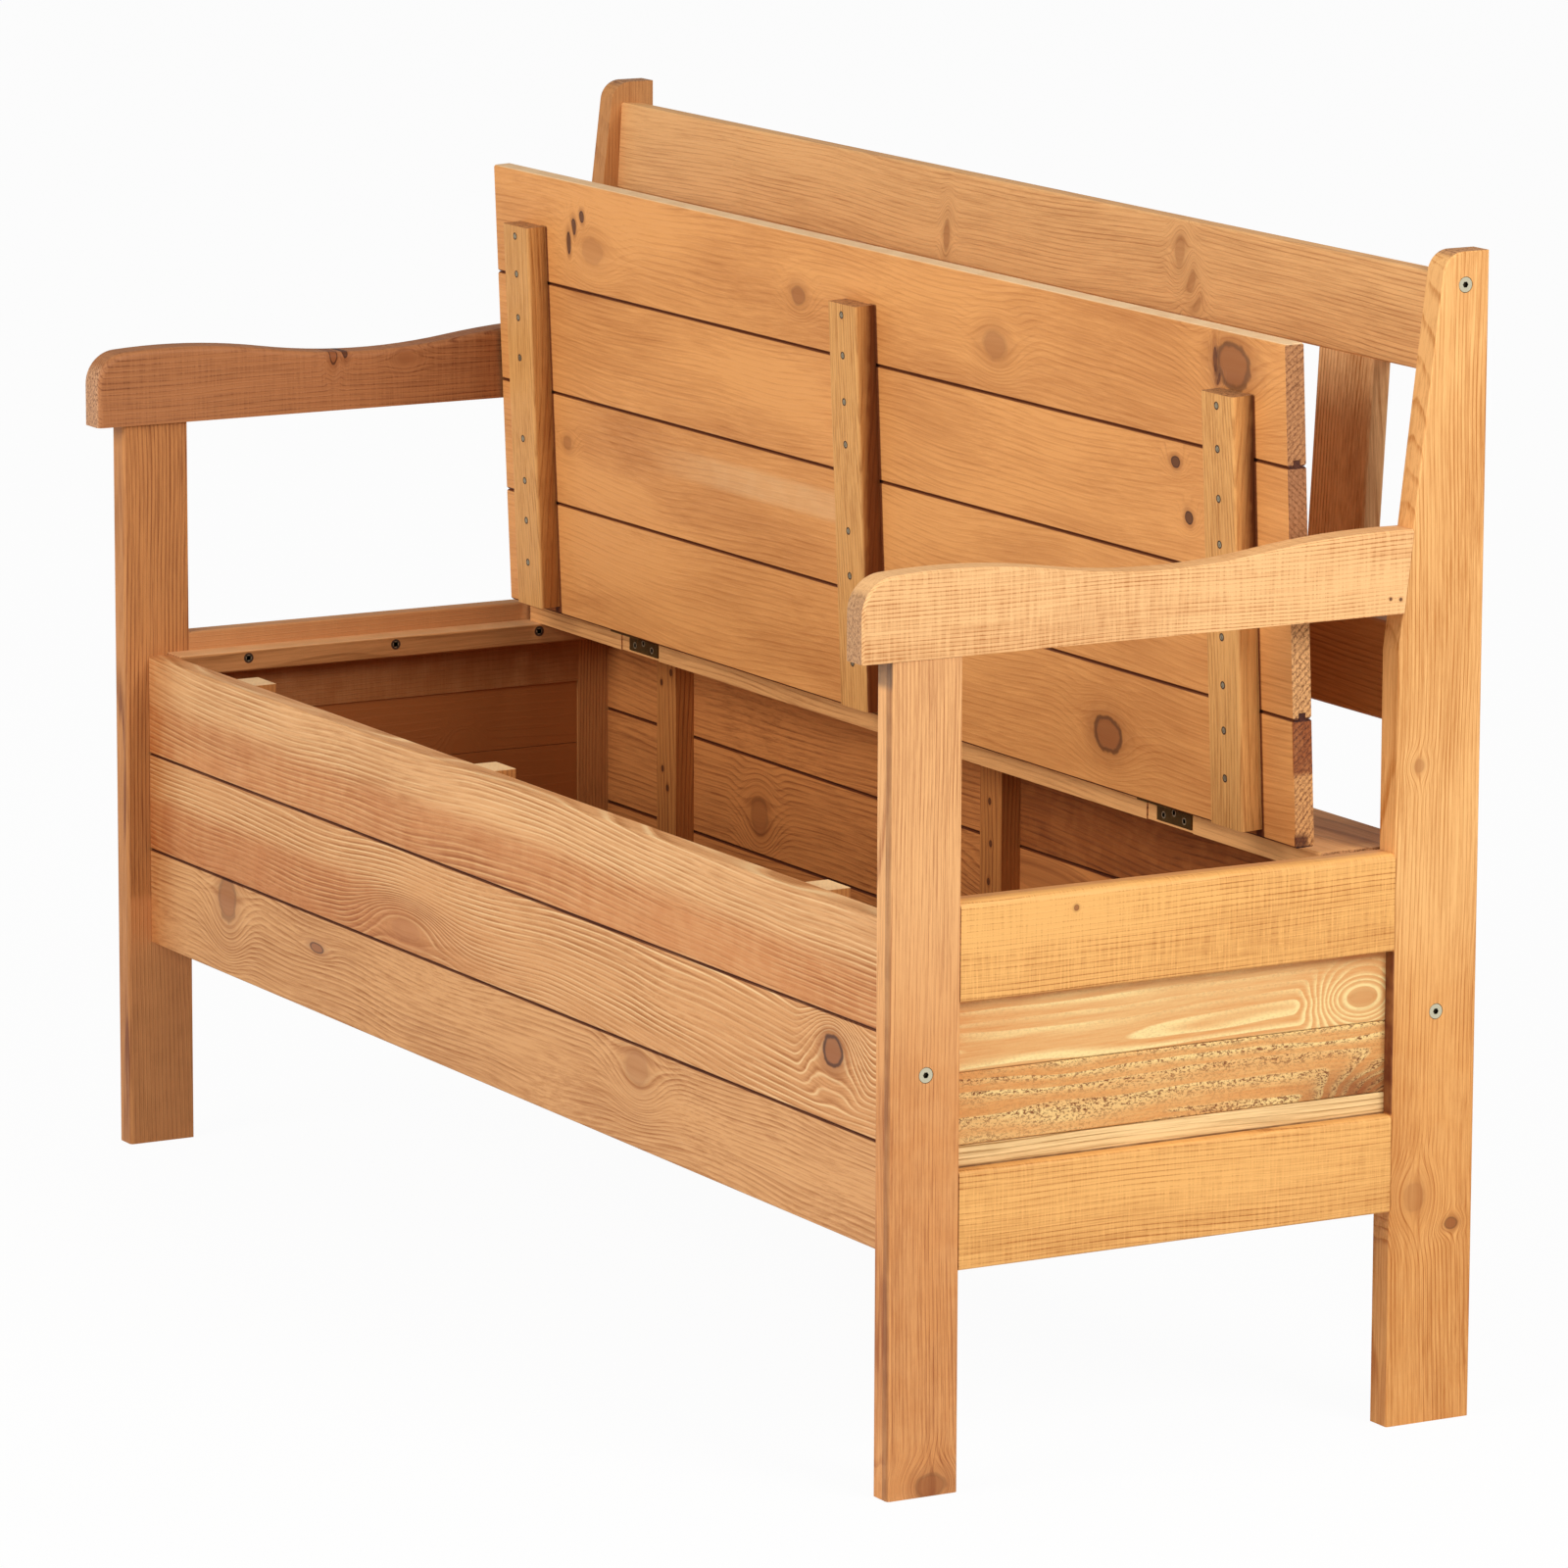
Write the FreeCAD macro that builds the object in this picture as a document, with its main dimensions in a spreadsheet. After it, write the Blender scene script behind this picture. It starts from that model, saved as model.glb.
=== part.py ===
import FreeCAD, Part
import math
import os
import re
import Sketcher

# Garden storage bench: a boarded box with a hinged lid for its seat, between
# four legs, with shaped armrests and a slatted back. All lengths are in mm.
# X runs along the seat and Z up. Y runs from the front to the back: it is
# measured from the front legs' faces here, and every object is then placed
# so that the middle of the bench's depth lies at zero.

doc = FreeCAD.newDocument("garden_storage_bench")
Vector = FreeCAD.Vector

SIZES = {
    # whole bench
    "overall_width": 1330,
    "overall_depth": 540,
    "bench_height": 900,
    "leg_thickness": 22,
    # front legs
    "front_leg_depth": 60,
    "front_leg_height": 630,
    "leg_arris": 3,
    "small_arris": 1.2,
    # rear legs
    "rear_leg_front": 440,
    "rear_leg_depth": 75,
    "rear_leg_top": 39,
    "rear_leg_kink": 600,
    "rear_leg_round": 18,
    # armrests
    "arm_thickness": 27,
    "arm_proud": 1,
    "arm_overhang": 25,
    "arm_nose": 28,
    "arm_crest_height": 65,
    "arm_crest": 70,
    "arm_waist": 260,
    "arm_rear_crest": 455,
    "arm_curve": 605,
    "arm_rear_curve": 800,
    "arm_inner_arris": 5,
    "arm_outer_arris": 2,
    # end frames
    "rail_height": 75,
    "top_rail_base": 371.5,
    "bottom_rail_base": 169,
    "top_rail_arris": 6,
    "bottom_rail_arris": 3.5,
    "panel_thickness": 9,
    "panel_recess": 11,
    "panel_groove": 7,
    "panel_engaged": 6.5,
    "panel_play": 0.2,
    "panel_joint_high": 315.5,
    "panel_joint_low": 260.3,
    "board_arris": 1,
    # tongue and groove joints
    "tongue": 5,
    "tongue_play": 0.35,
    "joint_gap": 0.5,
    # ledges that carry the lid
    "ledge_width": 25,
    "ledge_height": 18,
    "ledge_top": 430.5,
    # box front
    "front_recess": 22,
    "wall_thickness": 18,
    "front_base": 177,
    "front_joint_low": 259.4,
    "front_joint_high": 343.2,
    "front_top": 428.5,
    "batten_width": 34,
    "front_batten_thickness": 20,
    "front_batten_left_in": 153,
    "front_batten_right_in": 158,
    "front_batten_middle_x": -54,
    # box back
    "back_wall_front": 470,
    "back_base": 178.5,
    "back_joint_low": 260,
    "back_joint_high": 344,
    "back_batten_thickness": 18,
    "back_batten_left_in": 141,
    "back_batten_right_in": 143,
    "back_batten_middle_x": 50,
    # box floor
    "cleat_width": 22,
    "cleat_base": 178,
    "cleat_height": 22,
    "floor_thickness": 16,
    "floor_margin": 0.4,
    # fixed board at the back of the seat
    "seat_board_front": 390,
    "seat_board_back": 484,
    "seat_board_gap": 5,
    "seat_thickness": 16.5,
    # lid
    "lid_end_gap": 8,
    "lid_depth": 384,
    "lid_joint_1": 98,
    "lid_joint_2": 195.5,
    "lid_joint_3": 290.5,
    "lid_arris": 1.5,
    "lid_open_angle": 87.6,
    "lid_batten_width": 45,
    "lid_batten_thickness": 18,
    "lid_batten_in": 77,
    "lid_batten_start": 7,
    "lid_batten_end": 340,
    "lid_batten_arris": 2.5,
    # hinges
    "hinge_in": 213,
    "hinge_y": 387.7,
    "hinge_z": 448.7,
    "leaf_width": 50,
    "leaf_thickness": 1.5,
    "leaf_offset": 2.3,
    "leaf_drop": 16,
    "leaf_shoulder": 3.2,
    "knuckle_radius": 3.5,
    "knuckle_gap": 0.3,
    "lid_drop": 1.4,
    "pin_radius": 1.5,
    "pin_clearance": 0.05,
    "pin_head_radius": 2.4,
    "pin_head_height": 1,
    "mortise_left": 40,
    "mortise_right": 28,
    # backrest
    "back_lean_angle": 3.2,
    "back_face_y": 482,
    "back_rail_height": 75,
    "back_rail_thickness": 20,
    "back_top_centre": 844.5,
    "back_rail_spacing": 269.9,
    "slat_width": 76,
    "slat_thickness": 17,
    "slat_end_gap": 83,
    "tenon_width": 66,
    "tenon_thickness": 8,
    "tenon_length": 12,
    "tenon_play": 0.2,
    "back_arris": 1.5,
    # leg bolts
    "head_play": 0.45,
    "bolt_radius": 2.5,
    "bolt_head": 5.7,
    "bolt_head_height": 4,
    "bolt_length": 60,
    "bolt_socket": 2.5,
    "bolt_sunk": 0.3,
    "front_bolt_z": 320,
    "rear_bolt_z": 321,
    "top_bolt_y": 494,
    "top_bolt_z": 875,
}

# lengths that follow from the ones above
DERIVED = {
    "half_width": "=overall_width / 2",
    "inner_half": "=half_width - leg_thickness",
    "origin_y": "=overall_depth / 2 - arm_overhang",
    "side_run": "=rear_leg_front - front_leg_depth",
    "rear_leg_rake": "=(rear_leg_depth - rear_leg_top) / (bench_height - rear_leg_kink)",
    "arm_length": "=arm_overhang + rear_leg_front + (front_leg_height - rear_leg_kink) * rear_leg_rake",
    "floor_base": "=cleat_base + cleat_height",
    "floor_top": "=floor_base + floor_thickness",
    "floor_front": "=front_recess + wall_thickness + floor_margin",
    "floor_board_width": "=(back_wall_front - floor_margin - floor_front) / 4",
    "lid_half": "=inner_half - lid_end_gap",
    "lid_edge": "=leaf_offset + leaf_thickness",
    "lid_underside": "=lid_drop + seat_thickness",
    "knuckle_pitch": "=leaf_width / 5",
    "hinge_x": "=inner_half - hinge_in",
    "lid_batten_x": "=inner_half - lid_batten_in",
    "front_batten_left_x": "=front_batten_left_in - inner_half",
    "front_batten_right_x": "=inner_half - front_batten_right_in",
    "back_batten_left_x": "=back_batten_left_in - inner_half",
    "back_batten_right_x": "=inner_half - back_batten_right_in",
    "slat_length": "=back_rail_spacing - back_rail_height",
    "slat_pitch": "=(2 * (inner_half - slat_end_gap) - slat_width) / 6",
    "bolt_seat": "=bolt_sunk + bolt_head_height",
}

sheet = doc.addObject("Spreadsheet::Sheet", "Sizes")
for row, (name, value) in enumerate(list(SIZES.items()) + list(DERIVED.items()), 1):
    sheet.set("A%d" % row, name)
    sheet.set("B%d" % row, str(value))
    sheet.setAlias("B%d" % row, name)
doc.recompute()


def size(text):
    """Writes an expression of size names so that it reads the sheet."""
    names = set(SIZES) | set(DERIVED)
    return re.sub(r"[a-z][a-z0-9_]*",
                  lambda word: "Sizes." + word.group(0) if word.group(0) in names else word.group(0), text)


def put(thing, x="0", y="0", z="0"):
    """Places an object, with y measured from the front legs' faces."""
    thing.setExpression(".Placement.Base.x", size(x))
    thing.setExpression(".Placement.Base.y", size("%s - origin_y" % y))
    thing.setExpression(".Placement.Base.z", size(z))


def lean(thing, angle):
    """Turns an object about the long axis of the bench, its top towards the back."""
    thing.Placement = FreeCAD.Placement(Vector(), FreeCAD.Rotation(Vector(-1, 0, 0), 1))
    thing.setExpression(".Placement.Rotation.Angle", size(angle))


def new_body(label, x="0", y="0", z="0", angle=None):
    """Starts a solid at a point."""
    body = doc.addObject("PartDesign::Body", label)
    body.Label = label
    if angle:
        lean(body, angle)
    put(body, x, y, z)
    return body


def new_sketch(body, plane, offset="0"):
    """Starts a sketch on a body's own plane, or at a distance in front of it."""
    support = [part for part in body.Origin.OriginFeatures if part.Role == plane][0]
    sketch = body.newObject("Sketcher::SketchObject", "Sketch")
    sketch.AttachmentSupport = [(support, "")]
    sketch.MapMode = "FlatFace"
    if offset != "0":
        sketch.setExpression(".AttachmentOffset.Base.z", size(offset))
    return sketch


def hold(sketch, geometry, point, u, v):
    """Fixes a point of a sketch at two distances from its origin."""
    for kind, distance, axis in (("DistanceX", u, -2), ("DistanceY", v, -1)):
        if distance == "0":
            sketch.addConstraint(Sketcher.Constraint("PointOnObject", geometry, point, axis))
        else:
            number = sketch.addConstraint(Sketcher.Constraint(kind, -1, 1, geometry, point, 1.0))
            sketch.setExpression("Constraints[%d]" % number, size(distance))


def polygon(sketch, corners):
    """Draws a closed outline whose corners are given by expressions."""
    first = sketch.GeometryCount
    count = len(corners)
    ring = [Vector(math.cos(2 * math.pi * k / count), math.sin(2 * math.pi * k / count), 0)
            for k in range(count)]
    for k in range(count):
        sketch.addGeometry(Part.LineSegment(ring[k], ring[(k + 1) % count]))
    for k in range(count):
        following = first + (k + 1) % count
        sketch.addConstraint(Sketcher.Constraint("Coincident", first + k, 2, following, 1))
    for k, (u, v) in enumerate(corners):
        hold(sketch, first + k, 1, u, v)


def rectangle(sketch, left, right, low, high):
    """Draws an upright rectangle between four distances."""
    polygon(sketch, ((left, low), (right, low), (right, high), (left, high)))


def circle(sketch, u, v, radius):
    """Draws a circle whose centre and radius are given by expressions."""
    number = sketch.addGeometry(Part.Circle(Vector(1, 1, 0), Vector(0, 0, 1), 1))
    hold(sketch, number, 3, u, v)
    bound = sketch.addConstraint(Sketcher.Constraint("Radius", number, 1.0))
    sketch.setExpression("Constraints[%d]" % bound, size(radius))


def pad(body, sketch, length, both=False, back=False):
    """Gives a sketch thickness: along its normal, against it, or half to each side."""
    feature = body.newObject("PartDesign::Pad", "Pad")
    feature.Profile = sketch
    feature.setExpression("Length", size(length))
    feature.Midplane = both
    feature.Reversed = back
    return feature


def cut(body, sketch, depth=None, back=False):
    """Cuts a sketch into its body to a depth, or right through to both sides."""
    doc.recompute()
    before = body.Shape.Volume
    feature = body.newObject("PartDesign::Pocket", "Pocket")
    feature.Profile = sketch
    if depth:
        feature.setExpression("Length", size(depth))
        feature.Reversed = back
    else:
        feature.Type = "ThroughAll"
        feature.Midplane = True
    doc.recompute()
    if body.Shape.Volume > before - 0.5:
        raise ValueError("a cut in %s removes nothing" % body.Label)
    return feature


def counterbore(body, centres, depth, back):
    """Sinks round seats for bolt heads into a body's outer face."""
    seats = new_sketch(body, "YZ_Plane")
    for u, v in centres:
        circle(seats, u, v, "bolt_head + head_play")
    return cut(body, seats, depth, back)


def along(axis, *sides):
    """Makes a test for the long straight edges that run one way on given sides of a shape."""
    def test(own, box):
        if getattr(own, axis + "Length") < 0.4 * getattr(box, axis + "Length"):
            return False
        return all(abs(getattr(own, side[0] + end) - getattr(box, side)) < 0.01
                   for side in sides for end in ("Min", "Max"))
    return test


def ease(body, amount, *tests, rounded=True):
    """Rounds or chamfers the edges that pass one of the tests on their own box and the shape's."""
    doc.recompute()
    base = body.Tip
    names = ["Edge%d" % number for number, edge in enumerate(base.Shape.Edges, 1)
             if any(test(edge.BoundBox, base.Shape.BoundBox) for test in tests)]
    arris = body.newObject("PartDesign::Fillet" if rounded else "PartDesign::Chamfer", "Arris")
    arris.Base = (base, names)
    arris.setExpression("Radius" if rounded else "Size", size(amount))
    return arris


nodes = []


def node(thing):
    """Notes an object as one of the bench's pieces."""
    nodes.append(thing)
    return thing


def upright(across, along_width):
    """Leaves a board's section standing on edge."""
    return across, along_width


def flat(across, along_width):
    """Lays a board's section flat."""
    return along_width, across


def lid_flat(across, along_width):
    """Lays a board's section flat, its width measured forwards from the lid's rear edge."""
    return "-(lid_edge + %s)" % along_width, across


def tongued_section(sketch, near, far, base, top, tongued, grooved, lay=upright):
    """Draws the end of a board, with a tongue on its far edge or a groove in its near one."""
    third = "((%s) - (%s)) / 3" % (far, near)
    low, high = "(%s + %s)" % (near, third), "(%s - %s)" % (far, third)
    corners = [(near, base)]
    if grooved:
        deep = "%s + tongue - joint_gap + tongue_play" % base
        corners += [("%s - tongue_play" % low, base), ("%s - tongue_play" % low, deep),
                    ("%s + tongue_play" % high, deep), ("%s + tongue_play" % high, base)]
    corners += [(far, base), (far, top)]
    if tongued:
        end = "%s + tongue" % top
        corners += [(high, top), (high, end), (low, end), (low, top)]
    corners.append((near, top))
    polygon(sketch, [lay(across, along_width) for across, along_width in corners])


# end frames

SIDES = (("left", -1), ("right", 1))


def bearing(centre, target):
    """Gives the direction of one point from another."""
    return math.atan2(target.y - centre.y, target.x - centre.x)


for side_name, side in SIDES:
    # front leg: a straight plank on edge, eased along its front
    leg = node(new_body("front_leg_" + side_name, "%d * half_width" % side))
    outline = new_sketch(leg, "XY_Plane")
    rectangle(outline, "0", "%d * leg_thickness" % -side, "0", "front_leg_depth")
    pad(leg, outline, "front_leg_height")
    outside, inside = ("XMax", "XMin") if side > 0 else ("XMin", "XMax")
    ease(leg, "leg_arris", along("Z", "YMin", outside), along("Z", "YMin", inside))
    ease(leg, "small_arris", along("Z", "YMax", outside), rounded=False)
    counterbore(leg, [("front_recess + wall_thickness / 2", "front_bolt_z")], "bolt_seat", side < 0)

    # rear leg: straight behind, raked in front above the seat, with a rounded shoulder at the top
    leg = node(new_body("rear_leg_" + side_name, "%d * half_width" % side, "rear_leg_front"))
    outline = new_sketch(leg, "YZ_Plane")
    polygon(outline, (("0", "0"), ("rear_leg_depth", "0"), ("rear_leg_depth", "bench_height"),
                      ("rear_leg_depth - rear_leg_top", "bench_height"), ("0", "rear_leg_kink")))
    pad(leg, outline, "leg_thickness", back=side > 0)
    ease(leg, "rear_leg_round", lambda own, box: own.ZMin > box.ZMax - 0.01 and own.YLength < 0.01
         and own.YMax < box.YMax - 1)
    ease(leg, "small_arris", lambda own, box: own.XLength < 0.01 and abs(own.XMin) < 0.01 and own.ZMax > 1,
         rounded=False)
    counterbore(leg, [("back_wall_front + wall_thickness / 2 - rear_leg_front", "rear_bolt_z"),
                      ("top_bolt_y - rear_leg_front", "top_bolt_z")], "bolt_seat", side < 0)

    # side rails: their inner edges are grooved for the panel between them
    near = "%d * (panel_recess - panel_play)" % -side
    far = "%d * (panel_recess + panel_thickness + panel_play)" % -side
    face = "%d * leg_thickness" % -side
    rail = node(new_body("side_top_rail_" + side_name, "%d * half_width" % side, "rear_leg_front",
                         "top_rail_base"))
    outline = new_sketch(rail, "XZ_Plane")
    polygon(outline, (("0", "0"), (near, "0"), (near, "panel_groove"), (far, "panel_groove"), (far, "0"),
                      (face, "0"), (face, "rail_height"), ("0", "rail_height")))
    pad(rail, outline, "side_run")
    ease(rail, "top_rail_arris", along("Y", "ZMax", outside))
    ease(rail, "small_arris", along("Y", "ZMin", outside), along("Y", "ZMax", inside), rounded=False)

    rail = node(new_body("side_bottom_rail_" + side_name, "%d * half_width" % side, "rear_leg_front",
                         "bottom_rail_base"))
    outline = new_sketch(rail, "XZ_Plane")
    low = "rail_height - panel_groove"
    polygon(outline, (("0", "0"), (face, "0"), (face, "rail_height"), (far, "rail_height"), (far, low),
                      (near, low), (near, "rail_height"), ("0", "rail_height")))
    pad(rail, outline, "side_run")
    ease(rail, "bottom_rail_arris", along("Y", "ZMax", outside))
    ease(rail, "small_arris", along("Y", "ZMin", outside), rounded=False)

    # side panel: two boards and a narrow strip, tongued together and housed in the rails
    bottom = "bottom_rail_base + rail_height - panel_engaged"
    top = "top_rail_base + panel_engaged"
    for name, base, crown, tongue_up, groove_down in (
            ("strip", bottom, "panel_joint_low", True, False),
            ("middle", "panel_joint_low + joint_gap", "panel_joint_high", True, True),
            ("upper", "panel_joint_high + joint_gap", top, False, True)):
        board = node(new_body("side_panel_%s_%s" % (name, side_name),
                              "%d * (half_width - panel_recess)" % side, "rear_leg_front"))
        outline = new_sketch(board, "XZ_Plane")
        inner, outer = ("0", "panel_thickness") if side < 0 else ("-panel_thickness", "0")
        tongued_section(outline, inner, outer, base, crown, tongue_up, groove_down)
        pad(board, outline, "side_run")
        ease(board, "board_arris", lambda own, box: own.YLength > 100 and own.XLength < 0.01
             and abs(own.XMin) < 0.01 and ((groove_down and own.ZMax < box.ZMin + 0.01)
                                           or (tongue_up and own.ZMax > box.ZMin + 0.01)), rounded=False)

    # ledge: carries the end of the lid, screwed to the top rail from inside the box
    ledge = node(new_body("lid_ledge_" + side_name, "%d * (inner_half - ledge_width)" % side,
                          "rear_leg_front", "ledge_top - ledge_height"))
    outline = new_sketch(ledge, "XZ_Plane")
    rectangle(outline, "0", "%d * ledge_width" % side, "0", "ledge_height")
    pad(ledge, outline, "rear_leg_front - front_recess - wall_thickness")
    ease(ledge, "small_arris", along("Y", "ZMin", inside), along("Y", "ZMax", inside), rounded=False)

    # armrest: a bandsawn curve of three arcs from a rounded nose, level underneath
    arm = node(new_body("armrest_" + side_name, "%d * (half_width + arm_proud)" % side, "-arm_overhang",
                        "front_leg_height"))
    curve = new_sketch(arm, "YZ_Plane")
    crest, waist, rear = SIZES["arm_crest"], SIZES["arm_waist"], SIZES["arm_rear_crest"]
    bend, rear_bend = SIZES["arm_curve"], SIZES["arm_rear_curve"]
    high, nose = SIZES["arm_crest_height"], SIZES["arm_nose"]
    first_centre = Vector(crest, high - bend, 0)
    rise = math.sqrt((2 * bend) ** 2 - (waist - crest) ** 2)
    second_centre = Vector(waist, first_centre.y + rise, 0)
    drop = math.sqrt((bend + rear_bend) ** 2 - (rear - waist) ** 2)
    third_centre = Vector(rear, second_centre.y - drop, 0)
    reach = math.sqrt((bend - nose) ** 2 - (crest - nose) ** 2)
    nose_centre = Vector(nose, first_centre.y + reach, 0)
    end_foot = Vector(sheet.get("arm_length"), 0, 0)
    end_top = Vector(end_foot.x + high * sheet.get("rear_leg_rake"), third_centre.y + rear_bend, 0)
    nose_end = bearing(first_centre, nose_centre)
    first_bend = bearing(first_centre, second_centre)
    second_bend = bearing(second_centre, third_centre)
    rear_end = bearing(third_centre, end_top)
    up = Vector(0, 0, 1)
    nose_arc = Part.ArcOfCircle(Part.Circle(nose_centre, up, nose), nose_end, math.pi)
    first_arc = Part.ArcOfCircle(Part.Circle(first_centre, up, bend), first_bend, nose_end)
    second_arc = Part.ArcOfCircle(Part.Circle(second_centre, up, bend), first_bend - math.pi, second_bend)
    third_arc = Part.ArcOfCircle(Part.Circle(third_centre, up, rear_bend), rear_end, second_bend + math.pi)
    front_line = Part.LineSegment(Vector(0, 0, 0), Vector(0, nose_centre.y, 0))
    end_line = Part.LineSegment(end_foot, third_arc.StartPoint)
    underside = Part.LineSegment(end_foot, Vector(0, 0, 0))
    for piece in (front_line, nose_arc, first_arc, second_arc, third_arc, end_line, underside):
        curve.addGeometry(piece)
    for first, first_point, second, second_point in ((0, 2, 1, 2), (1, 1, 2, 2), (2, 1, 3, 1), (3, 2, 4, 2)):
        curve.addConstraint(Sketcher.Constraint("Tangent", first, first_point, second, second_point))
    curve.addConstraint(Sketcher.Constraint("Coincident", 4, 1, 5, 2))
    curve.addConstraint(Sketcher.Constraint("Coincident", 5, 1, 6, 1))
    curve.addConstraint(Sketcher.Constraint("Coincident", 6, 2, 0, 1))
    hold(curve, 0, 1, "0", "0")
    curve.addConstraint(Sketcher.Constraint("Vertical", 0))
    curve.addConstraint(Sketcher.Constraint("Horizontal", 6))
    curve.addConstraint(Sketcher.Constraint("Equal", 2, 3))
    hold(curve, 2, 3, "arm_crest", "arm_crest_height - arm_curve")
    for geometry, radius in ((1, "arm_nose"), (2, "arm_curve"), (4, "arm_rear_curve")):
        number = curve.addConstraint(Sketcher.Constraint("Radius", geometry, SIZES[radius]))
        curve.setExpression("Constraints[%d]" % number, size(radius))
    for geometry, distance in ((3, "arm_waist"), (4, "arm_rear_crest")):
        number = curve.addConstraint(Sketcher.Constraint("DistanceX", -1, 1, geometry, 3, SIZES[distance]))
        curve.setExpression("Constraints[%d]" % number, size(distance))
    number = curve.addConstraint(Sketcher.Constraint("DistanceX", -1, 1, 6, 1, end_foot.x))
    curve.setExpression("Constraints[%d]" % number, size("arm_length"))
    number = curve.addConstraint(Sketcher.Constraint("Angle", 5, bearing(end_foot, third_arc.StartPoint)))
    curve.setExpression("Constraints[%d]" % number, size("90 deg - atan(rear_leg_rake)"))
    pad(arm, curve, "arm_thickness", back=side > 0)
    ease(arm, "arm_inner_arris", lambda own, box: own.ZMin > 2 and own.XLength < 0.01 and own.YMax > 1
         and own.YMin < box.YMax - 20 and abs(own.XMin) > 1)
    ease(arm, "arm_outer_arris", lambda own, box: own.ZMin > 2 and own.XLength < 0.01 and own.YMax > 1
         and own.YMin < box.YMax - 20 and abs(own.XMin) < 1, rounded=False)

# box front and back: three tongued boards between the legs, nailed to three battens inside
WALLS = (("front_board", "front_recess", "front_base", "front_joint_low", "front_joint_high", "front_top"),
         ("back_board", "back_wall_front", "back_base", "back_joint_low", "back_joint_high", "ledge_top"))
for wall, face, base, joint_low, joint_high, crown in WALLS:
    for name, low, high, tongue_up, groove_down in (
            ("bottom", base, joint_low, True, False),
            ("middle", joint_low + " + joint_gap", joint_high, True, True),
            ("top", joint_high + " + joint_gap", crown, False, True)):
        board = node(new_body("%s_%s" % (wall, name), y=face))
        section = new_sketch(board, "YZ_Plane")
        tongued_section(section, "0", "wall_thickness", low, high, tongue_up, groove_down)
        pad(board, section, "2 * inner_half", both=True)
        ease(board, "board_arris", along("X", "YMin"), rounded=False)
for name in ("left", "middle", "right"):
    for wall, back_of, thickness, crown in (
            ("front", "front_recess + wall_thickness", "front_batten_thickness", "front_top"),
            ("back", "back_wall_front - back_batten_thickness", "back_batten_thickness", "ledge_top")):
        batten = node(new_body("%s_batten_%s" % (wall, name), "%s_batten_%s_x" % (wall, name), back_of,
                               "floor_top"))
        section = new_sketch(batten, "XY_Plane")
        rectangle(section, "-batten_width / 2", "batten_width / 2", "0", thickness)
        pad(batten, section, crown + " - floor_top")

# box floor: four tongued boards lying on a cleat at each end
cleats = []
for side_name, side in SIDES:
    cleat = new_body("floor_cleat_" + side_name, "%d * inner_half" % side, "front_leg_depth", "cleat_base")
    section = new_sketch(cleat, "YZ_Plane")
    rectangle(section, "0", "side_run", "0", "cleat_height")
    pad(cleat, section, "cleat_width", back=side > 0)
    cleats.append(cleat)
pair = node(doc.addObject("Part::Compound", "floor_cleats"))
pair.Links = cleats
for count in range(4):
    board = node(new_body("floor_board_%d" % (count + 1), y="floor_front + %d * floor_board_width" % count,
                          z="floor_base"))
    section = new_sketch(board, "YZ_Plane")
    tongued_section(section, "0", "floor_thickness", "0", "floor_board_width - joint_gap",
                    count < 3, count > 0, flat)
    pad(board, section, "2 * inner_half", both=True)

# fixed board at the back of the seat, mortised for the hinges
BOTH_HINGES = ("-hinge_x", "hinge_x")
board = node(new_body("rear_seat_board", y="seat_board_front", z="ledge_top"))
section = new_sketch(board, "YZ_Plane")
rectangle(section, "0", "seat_board_back - seat_board_front", "0", "seat_thickness")
pad(board, section, "2 * (inner_half - seat_board_gap)", both=True)
ease(board, "lid_arris", along("X", "YMin", "ZMax"), along("X", "YMax", "ZMax"), rounded=False)
mortise = "hinge_y + lid_edge - seat_board_front"
mortises = new_sketch(board, "XY_Plane")
for centre in BOTH_HINGES:
    rectangle(mortises, centre + " - mortise_left", centre + " + mortise_right", "0", mortise)
cut(board, mortises)

# lid: four tongued boards across three battens, drawn closed about the hinges' axis and turned open
LID_JOINTS = ("lid_joint_1", "lid_joint_2", "lid_joint_3")
for count in range(4):
    start = LID_JOINTS[count - 1] + " + joint_gap" if count else "0"
    end = LID_JOINTS[count] if count < 3 else "lid_depth"
    board = node(new_body("lid_board_%d" % (count + 1), y="hinge_y", z="hinge_z", angle="lid_open_angle"))
    section = new_sketch(board, "YZ_Plane")
    tongued_section(section, "-lid_underside", "-lid_drop", start, end, count < 3, count > 0, lid_flat)
    pad(board, section, "2 * lid_half", both=True)
    ease(board, "lid_arris", along("X", "ZMin"), along("X", "ZMax"), rounded=False)
for name, x in (("left", "-lid_batten_x"), ("middle", "0"), ("right", "lid_batten_x")):
    batten = node(new_body("lid_batten_" + name, x, "hinge_y", "hinge_z", "lid_open_angle"))
    section = new_sketch(batten, "XY_Plane", "-(lid_underside + lid_batten_thickness)")
    rectangle(section, "-lid_batten_width / 2", "lid_batten_width / 2", "-(lid_edge + lid_batten_end)",
              "-(lid_edge + lid_batten_start)")
    pad(batten, section, "lid_batten_thickness")
    ease(batten, "lid_batten_arris", along("Y", "XMin", "ZMin"), along("Y", "XMax", "ZMin"))


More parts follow.
